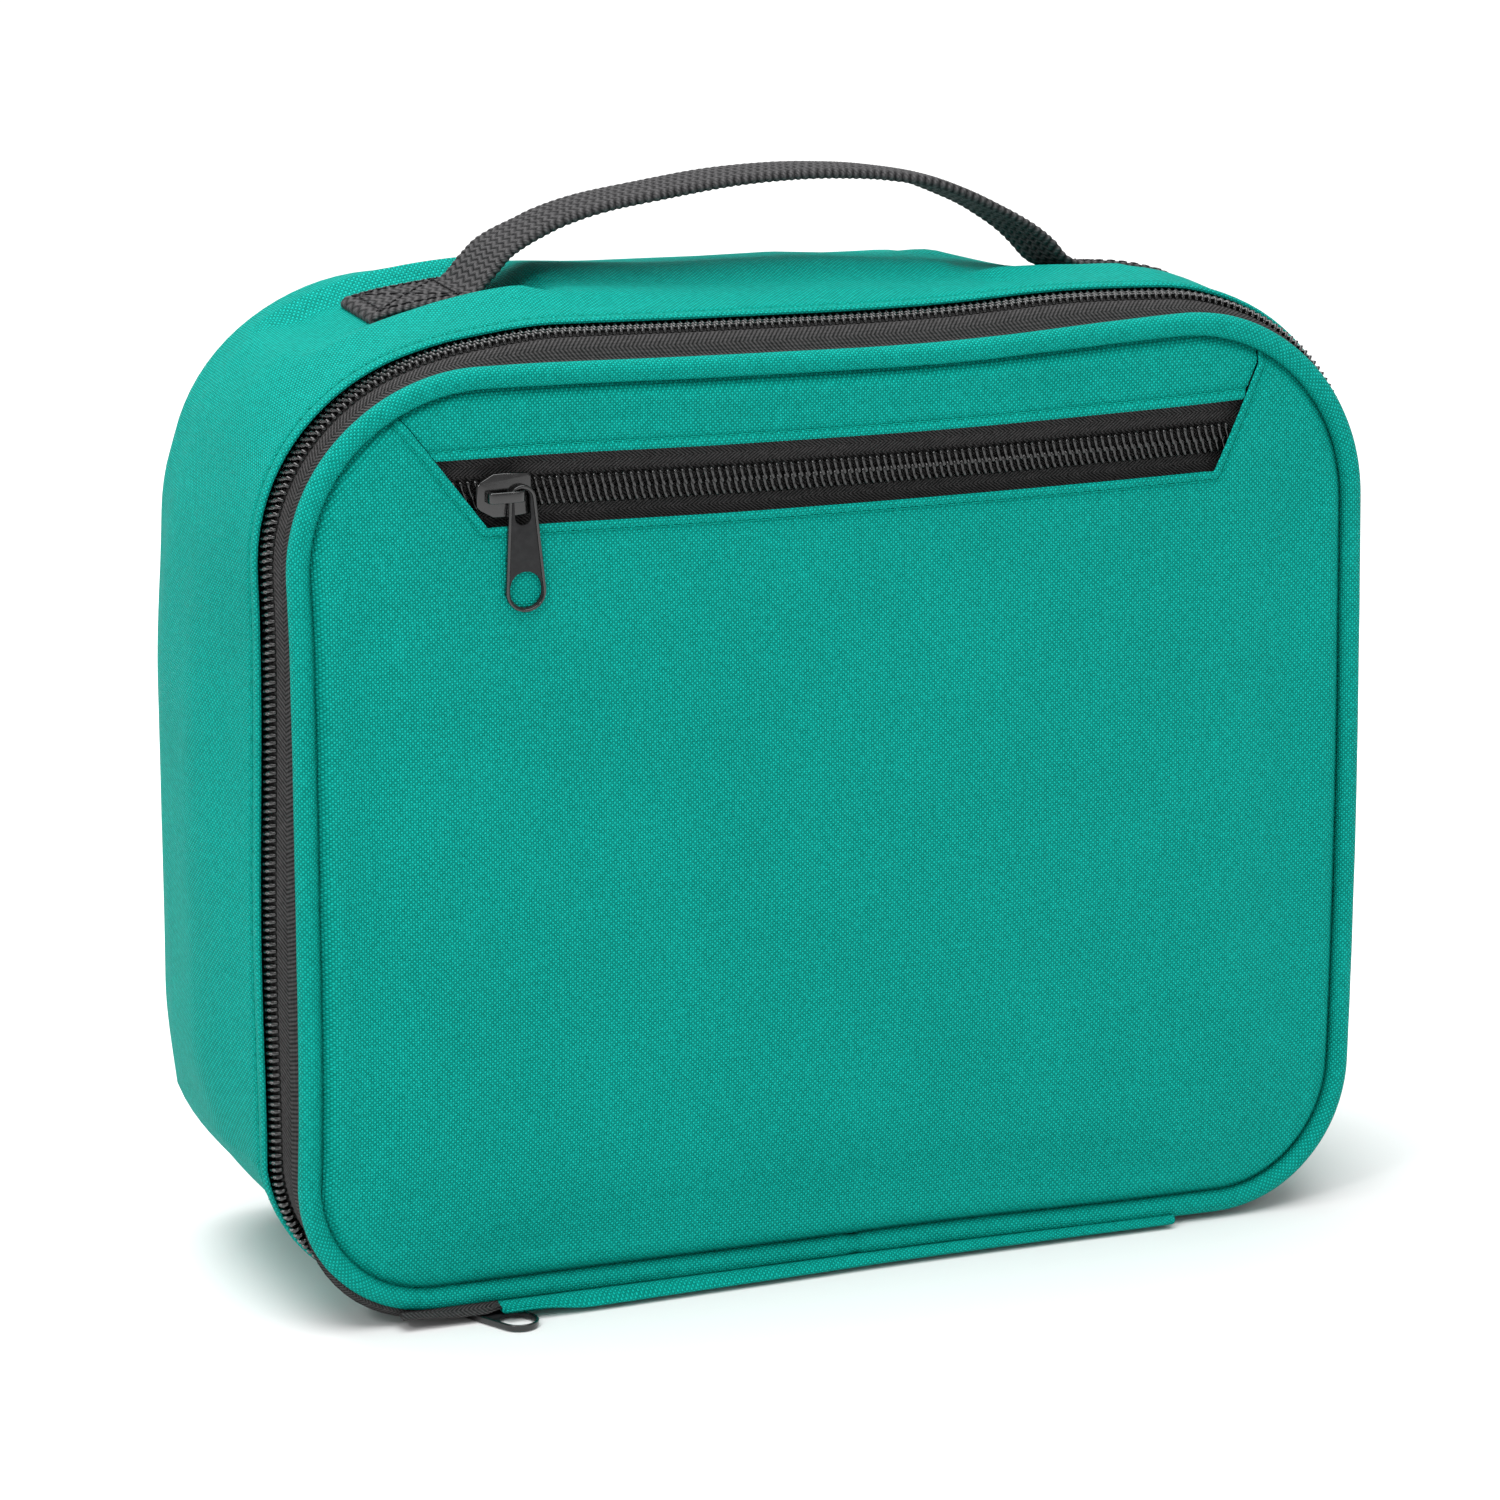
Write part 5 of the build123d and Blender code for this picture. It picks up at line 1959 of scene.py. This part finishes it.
@dataclass
class Slider:
    """Zip slider with its arch and its puller."""

    name: str
    origin: tuple[float, float, float]
    out: tuple[float, float, float]
    angle: float
    slider_body: str
    puller_body: str
    nodes: tuple[str, str]
    leg: float = 3.5
    plate_low: float = 0.5
    plate_high: float = 1.6
    keel: float = -3.85
    arch: float = 2.6
    hang: float = 0.85

    def place(self, turned: float = 0.0, base: float = 0.0, shift: float = 0.0) -> Matrix:
        """Return the placing matrix of a local shape, turned about the leg.

        Args:
            turned: Turn in degrees.
            base: Height above the chain in millimetres.
            shift: Move along x in millimetres.

        Returns:
            The matrix, which gives metres.
        """
        out = Vector(self.out)
        along = Vector((1.0, 0.0, 0.0))
        side = out.cross(along)
        turn = Matrix.Rotation(math.radians(turned), 3, out)
        along, side = turn @ along, turn @ side
        spot = (Vector(self.origin) + Vector((shift, 0, 0)) + out * base) * MM
        rows = [(along[k], side[k], out[k], spot[k]) for k in range(3)]
        return Matrix((*rows, (0.0, 0.0, 0.0, 1.0)))

    def build(self) -> None:
        """Build the slider's body and its puller."""
        body = join(f"{self.name}_slider_body", [*self.plates(), self.bridge()])
        body.data.transform(self.place())
        self.smooth(body)
        dress(body, BLACK_LACQUER, self.slider_body, "black_metal", self.nodes[0], soft=False)
        rim, web = self.tab()
        middle = self.plate_high + self.hang
        for part in (rim, web):
            part.data.transform(self.place(self.angle, middle, self.leg))
        tab = join(f"{self.name}_puller_tab", [rim])
        self.smooth(tab)
        dress(tab, BLACK_LACQUER, self.puller_body, "black_metal", self.nodes[1], soft=False)
        plate = join(f"{self.name}_puller_web", [web])
        self.smooth(plate)
        dress(plate, MATTE_LACQUER, self.puller_body, "black_metal", soft=False)

    @staticmethod
    def smooth(piece: bpy.types.Object) -> None:
        """Shade smooth between soft edges only."""
        piece.data.polygons.foreach_set("use_smooth", [True] * len(piece.data.polygons))
        piece.data.set_sharp_from_angle(angle=math.radians(38.0))

    def plates(self) -> list[bpy.types.Object]:
        """Return the outer plate, the inner plate, the wedge and the side flanges.

        Returns:
            The four kinds of plate in that order.
        """
        upper = [(-6.0, 2.1), (-5.2, 3.0), (-2.4, 4.6), (0.6, 4.7), (5.2, 4.4), (5.9, 3.7)]
        shield = upper + [(x, -y) for x, y in reversed(upper)]
        top = cut_plate("plate", [shield], self.plate_low, self.plate_high, 0.35)
        keel = cut_plate("keel", [shield], self.keel - 1.1, self.keel, 0.3)
        wedge = cut_plate("wedge", [wrap((-5.3, 0.45), (-3.9, 0.5), 8)], self.keel - 0.2,
                          self.plate_low + 0.2, 0.1)
        parts = [top, keel, wedge]
        for sign in (1, -1):
            box = [(-2.7, sign * 3.4), (4.7, sign * 3.4), (4.7, sign * 4.2), (-2.7, sign * 4.2)]
            parts.append(cut_plate("flange", [box], self.plate_low - 1.4, self.plate_low + 0.3, 0.15))
        return parts

    def bridge(self) -> bpy.types.Object:
        """Return the arch that the puller hangs on.

        Returns:
            The arch.
        """
        low, top = self.plate_high - 0.25, self.plate_high + self.arch
        outer = [(-4.3, low), (-4.15, low + 1.2), (-3.9, top - 0.7), (-3.4, top - 0.2), (-2.6, top),
                 (2.6, top), (3.4, top - 0.2), (3.9, top - 0.7), (4.15, low + 1.2), (4.3, low)]
        inner = [(3.1, low), (3.0, top - 1.2), (2.5, top - 0.8), (-2.5, top - 0.8), (-3.0, top - 1.2),
                 (-3.1, low)]
        made = cut_plate("arch", [outer + inner], -1.2, 1.2, 0.32)
        made.data.transform(Matrix.Rotation(math.radians(90.0), 4, "X"))
        return made

    def tab(self) -> tuple[bpy.types.Object, bpy.types.Object]:
        """Return the puller's rim and its recessed web.

        Returns:
            The rim and the web.
        """
        contour = wrap((0.7, 2.9), (20.4, 4.35))
        inner = wrap((0.9, 2.25), (20.4, 3.7))
        eye = wrap((0.5, 1.75), (4.6, 1.75))
        tip = wrap((19.6, 3.42), (20.4, 3.5))
        rim = cut_plate("rim", [contour, inner[::-1]], -0.75, 0.75, 0.3)
        web = cut_plate("web", [wrap((0.8, 2.5), (20.4, 3.95)), eye[::-1], tip[::-1]], -0.45, 0.45, 0.1)
        return rim, web


# ---- handle ---------------------------------------------------------------------------------------
@dataclass
class Handle:
    """Webbing strap: folded and sewn at both ends, arched between them."""

    middle: float = 10.0
    width: float = 22.0
    thick: float = 1.7
    left_end: tuple[float, float] = (-93.0, -66.0)
    right_end: tuple[float, float] = (70.0, 97.0)
    bends: tuple[float, float] = (-50.0, 56.0)

    def top_at(self, x: float, lift: float) -> tuple[float, float]:
        """Return the point above the bag's top at x, lifted along its normal.

        Args:
            x: Place across.
            lift: Height above the top.

        Returns:
            The x and z of the point.
        """
        radius = BAG.top_radius
        flat = BAG.half - radius
        if abs(x) <= flat:
            return x, BAG.high + lift
        angle = math.asin(min(1.0, (abs(x) - flat) / (radius + lift)))
        across = math.copysign(flat + (radius + lift) * math.sin(angle), x)
        return across, BAG.high - radius + (radius + lift) * math.cos(angle)

    @staticmethod
    def lifted(x: Array) -> Array:
        """Return how far the padded top lifts the strap at x."""
        top = np.stack([np.ravel(x), np.full(np.size(x), 205.0)], 1)
        return 0.9 * crest(top).reshape(np.shape(x))

    def spine(self) -> Array:
        """Return the strap's middle line from under the left end to under the right end.

        Returns:
            Points as x and z.
        """
        lower, upper = 0.75, 1.95
        first, last = self.left_end[0] + 3.5, self.right_end[1] - 1.5
        left = [self.top_at(x, lower) for x in np.linspace(self.left_end[1] - 1.0, first + 1.0, 12)]
        left += [self.top_at(first + 0.2, lower + 0.35), self.top_at(first + 0.2, upper - 0.35)]
        left += [self.top_at(x, upper) for x in np.linspace(first + 1.0, self.left_end[1] - 1.5, 12)]
        arch = [(-65.2, 212.6), (-62.2, 216.0), (-59.2, 220.2), (-55.6, 223.3), (-51.5, 225.6), (-46, 227.8),
                (-37, 230.1), (-25, 231.9), (-8, 233.8), (8, 234.4), (20, 233.8), (28, 232.9), (38, 231.0),
                (46, 228.0), (54, 224.0), (61, 219.7), (66, 215.9), (69.6, 212.4)]
        right = [self.top_at(x, upper) for x in np.linspace(self.right_end[0] + 3.0, last - 1.0, 12)]
        right += [self.top_at(last - 0.2, upper - 0.35), self.top_at(last - 0.2, lower + 0.35)]
        right += [self.top_at(x, lower) for x in np.linspace(last - 1.0, self.right_end[0] + 2.0, 12)]
        rough = np.array(left + arch + right)
        run = np.concatenate([[0.0], np.cumsum(np.linalg.norm(np.diff(rough, axis=0), axis=1))])
        even = np.arange(0.0, run[-1], 0.4)
        return cubic(rough, np.interp(even, run, np.arange(len(rough))))

    def build(self) -> None:
        """Build the strap in three pieces and sew its ends."""
        line = self.spine()
        along = np.gradient(line, axis=0)
        along /= np.linalg.norm(along, axis=1, keepdims=True)
        up = np.stack([-along[:, 1], along[:, 0]], 1)
        start = len(line) // 2
        if up[start, 1] < 0:
            up = -up
        run = np.arange(len(line)) * 0.4
        flat = np.linspace(-1.0, 1.0, 41)
        across = np.concatenate([flat, flat[::-1]])
        face = np.concatenate([np.ones(41), -np.ones(41)])
        edge = np.sqrt(np.maximum(0.0, 1.0 - np.clip((np.abs(across) - 0.93) / 0.07, 0, 1) ** 2))
        flat_end = smooth_step(line[:, 1], 211.0, 216.0)
        offsets = face * (0.25 + 0.75 * edge) * self.thick / 2
        turn = across * self.width / 2 % 4.4
        chevron = 0.45 * np.minimum(turn, 4.4 - turn)
        ribs = np.abs(np.sin((run[:, None] + chevron[None]) * math.pi / 1.7)) * 0.34 - 0.17
        cords = np.abs(np.sin(across * self.width / 2 * math.pi / 2.2)) * 0.12
        height = offsets[None] * (0.66 + 0.34 * flat_end)[:, None]
        height = height + face[None] * (ribs * (0.5 + 0.5 * flat_end)[:, None] + cords[None]) * edge[None]
        wander = 0.35 * np.sin(run / 17.0) + 0.2 * np.sin(run / 5.5)
        arch = smooth_step(line[:, 0], -64, -50) * (1 - smooth_step(line[:, 0], 56, 68))
        curl = arch[:, None] * (-0.5 * across[None] ** 2 - 0.8 * across[None])
        y = self.middle + across[None] * self.width / 2 + (wander * arch)[:, None]
        rise = height + curl
        points = np.stack([line[:, :1] + up[:, :1] * rise, y, line[:, 1:] + up[:, 1:] * rise], 2)
        ground = sag(points[:, :, 0], points[:, :, 1]) + self.lifted(points[:, :, 0])
        points[:, :, 2] += ground * (1.0 - smooth_step(points[:, :, 2], 213.0, 226.0))
        order = across * self.width / 2
        cloth = np.stack(np.meshgrid(np.append(run, 0.0), np.append(order, order[0]), indexing="ij"), 2)
        top = [k for k in range(len(line)) if line[k, 1] > 215]
        first = next(k for k in top if line[k, 0] >= self.bends[0])
        last = next(k for k in top if line[k, 0] >= self.bends[1])
        spans = (("handle_left_strap", 0, first, "handle_leg_left", "handle_end_left", "bag"),
                 ("handle_arch_strap", first, last, "handle_arch", None, "handle"),
                 ("handle_right_strap", last, len(line) - 1, "handle_leg_right", "handle_end_right", "bag"))
        for name, begin, end, node, second, body in spans:
            piece = grid_mesh(name, points[begin:end + 1], cloth[begin:end + 2], (False, True), True)
            nodes = (node, second) if second else (node,)
            blended = body == "bag"
            dress(piece, BLACK_WEBBING, "" if blended else body, "webbing", *nodes, soft=False)
            if name == "handle_left_strap":
                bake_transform(piece)
            elif blended:
                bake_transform(piece)
        self.sew("handle_stitches_left", self.left_end, "handle_stitching_left")
        self.sew("handle_stitches_right", self.right_end, "handle_stitching_right")

    def sew(self, name: str, span: tuple[float, float], node: str) -> None:
        """Sew a box with a cross on a folded end.

        Args:
            name: Piece name.
            span: Lowest and highest x of the end.
            node: CAD node it stands for.
        """
        x0, x1 = span[0] + 6.0, span[1] - 4.0
        y0, y1 = self.middle - 8.5, self.middle + 8.5
        corners = [(x0, y0), (x1, y0), (x1, y1), (x0, y1), (x0, y0)]
        runs = list(zip(corners, corners[1:])) + [((x0, y0), (x1, y1)), ((x0, y1), (x1, y0))]
        lines = []
        for (xa, ya), (xb, yb) in runs:
            rows = []
            for t in np.linspace(0.0, 1.0, 24):
                x, z = self.top_at(xa + t * (xb - xa), 2.75)
                y = ya + t * (yb - ya)
                rows.append((x, y, z + float(sag(np.array(x), np.array(y)) + self.lifted(np.array(x)))))
            lines.append(np.array(rows))
        across = Across.BACKWARD
        flat = [line for line in lines if abs(line[0][0] - line[-1][0]) > 1.0]
        sideways = [line for line in lines if abs(line[0][0] - line[-1][0]) <= 1.0]
        parts = [stitches(f"{name}_a", flat, BLACK_THREAD, across, 2.2, 0.6, 0.22),
                 stitches(f"{name}_b", sideways, BLACK_THREAD, Across.UP, 2.2, 0.6, 0.22)]
        made = join(name, parts)
        made.data.polygons.foreach_set("use_smooth", [True] * len(made.data.polygons))
        dress(made, BLACK_THREAD, "bag", "thread", node, soft=False)


# ---- studio ---------------------------------------------------------------------------------------
@dataclass
class Studio:
    """Pale floor, soft lights and the camera."""

    def build(self) -> None:
        """Set up the studio."""
        scene = bpy.context.scene
        scene.view_settings.view_transform = "Standard"
        self.floor()
        self.lights()
        self.camera()

    @staticmethod
    def floor() -> None:
        """Make the floor, a wide flat sheet."""
        rows = [(y, 0.0) for y in np.linspace(-6000.0, 6000.0, 5)]
        table = np.array(rows)
        x = np.linspace(-6000.0, 6000.0, 5)
        points = np.stack([np.repeat(x[:, None], len(rows), 1), np.tile(table[:, 0], (5, 1)),
                           np.tile(table[:, 1] - 0.02, (5, 1))], 2)
        floor = grid_mesh("studio_floor", points, points[:, :, :2].copy())
        if floor.data.polygons[0].normal.z < 0:
            floor.data.flip_normals()
        floor.data.materials.append(WARDROBE(FLOOR))

    @staticmethod
    def lights() -> None:
        """Add the soft boxes and the surrounding light."""
        world = bpy.data.worlds.new("studio_air")
        world.use_nodes = True
        world.node_tree.nodes["Background"].inputs[0].default_value = (1.0, 1.0, 1.0, 1.0)
        world.node_tree.nodes["Background"].inputs[1].default_value = 0.52
        bpy.context.scene.world = world
        data = bpy.data.lights.new("sky_panel", "SUN")
        data.energy = 2.5
        data.angle = math.radians(55.0)
        sky = bpy.data.objects.new("sky_panel", data)
        bpy.context.scene.collection.objects.link(sky)
        sky.rotation_euler = Vector((-0.08, -0.17, 0.98)).to_track_quat("Z", "Y").to_euler()
        target = Vector((0.0, 0.0, 0.1))
        for name, spot, size, power in (("left_box", (-0.95, -0.75, 0.9), 0.2, 3.9),
                                        ("right_box", (0.5, -1.1, 1.0), 0.12, 0.9),
                                        ("top_box", (-0.2, 0.5, 1.1), 0.8, 7.5)):
            light = bpy.data.lights.new(name, "AREA")
            light.size = size
            light.energy = power
            lamp = bpy.data.objects.new(name, light)
            bpy.context.scene.collection.objects.link(lamp)
            lamp.location = spot
            lamp.rotation_euler = (target - Vector(spot)).to_track_quat("-Z", "Y").to_euler()

    @staticmethod
    def camera() -> None:
        """Add the camera."""
        azimuth, rise, roll = math.radians(-21.2), math.radians(15.42), math.radians(0.25)
        target = Vector((-0.0038, 0.0, 0.1076))
        back = Vector((math.sin(azimuth) * math.cos(rise), -math.cos(azimuth) * math.cos(rise),
                       math.sin(rise)))
        data = bpy.data.cameras.new("camera")
        data.sensor_width = 36.0
        data.lens = 36.0 * 5680.0 / 1500.0
        data.clip_end = 50.0
        eye = bpy.data.objects.new("camera", data)
        bpy.context.scene.collection.objects.link(eye)
        turn = back.to_track_quat("Z", "Y").to_matrix().to_4x4() @ Matrix.Rotation(roll, 4, "Z")
        eye.matrix_world = Matrix.Translation(target + back * 1.25) @ turn
        bpy.context.scene.camera = eye


def main() -> None:
    """Build the whole bag."""
    logging.basicConfig(level=logging.INFO, format="%(name)s %(message)s")
    Studio().build()
    builders = [
        Shell(), Piping(), LidFront(), MainZip(), HingeStrip(), PocketZip(), LidPad(),
        Slider("main", (-90.0, CHAIN_Y, 4.5), (0.0, 0.0, -1.0), 56.0, "main_slider", "main_puller",
               ("main_slider", "main_puller"), hang=2.0),
        Slider("pocket", (-75.2, -42.3, 180.0), (0.0, -1.0, 0.0), -88.0, "pocket_slider", "pocket_puller",
               ("pocket_slider", "pocket_puller")),
        Handle(),
    ]
    for builder in builders:
        LOG.info("building %s", type(builder).__name__)
        builder.build()


if __name__ == "__main__":
    main()
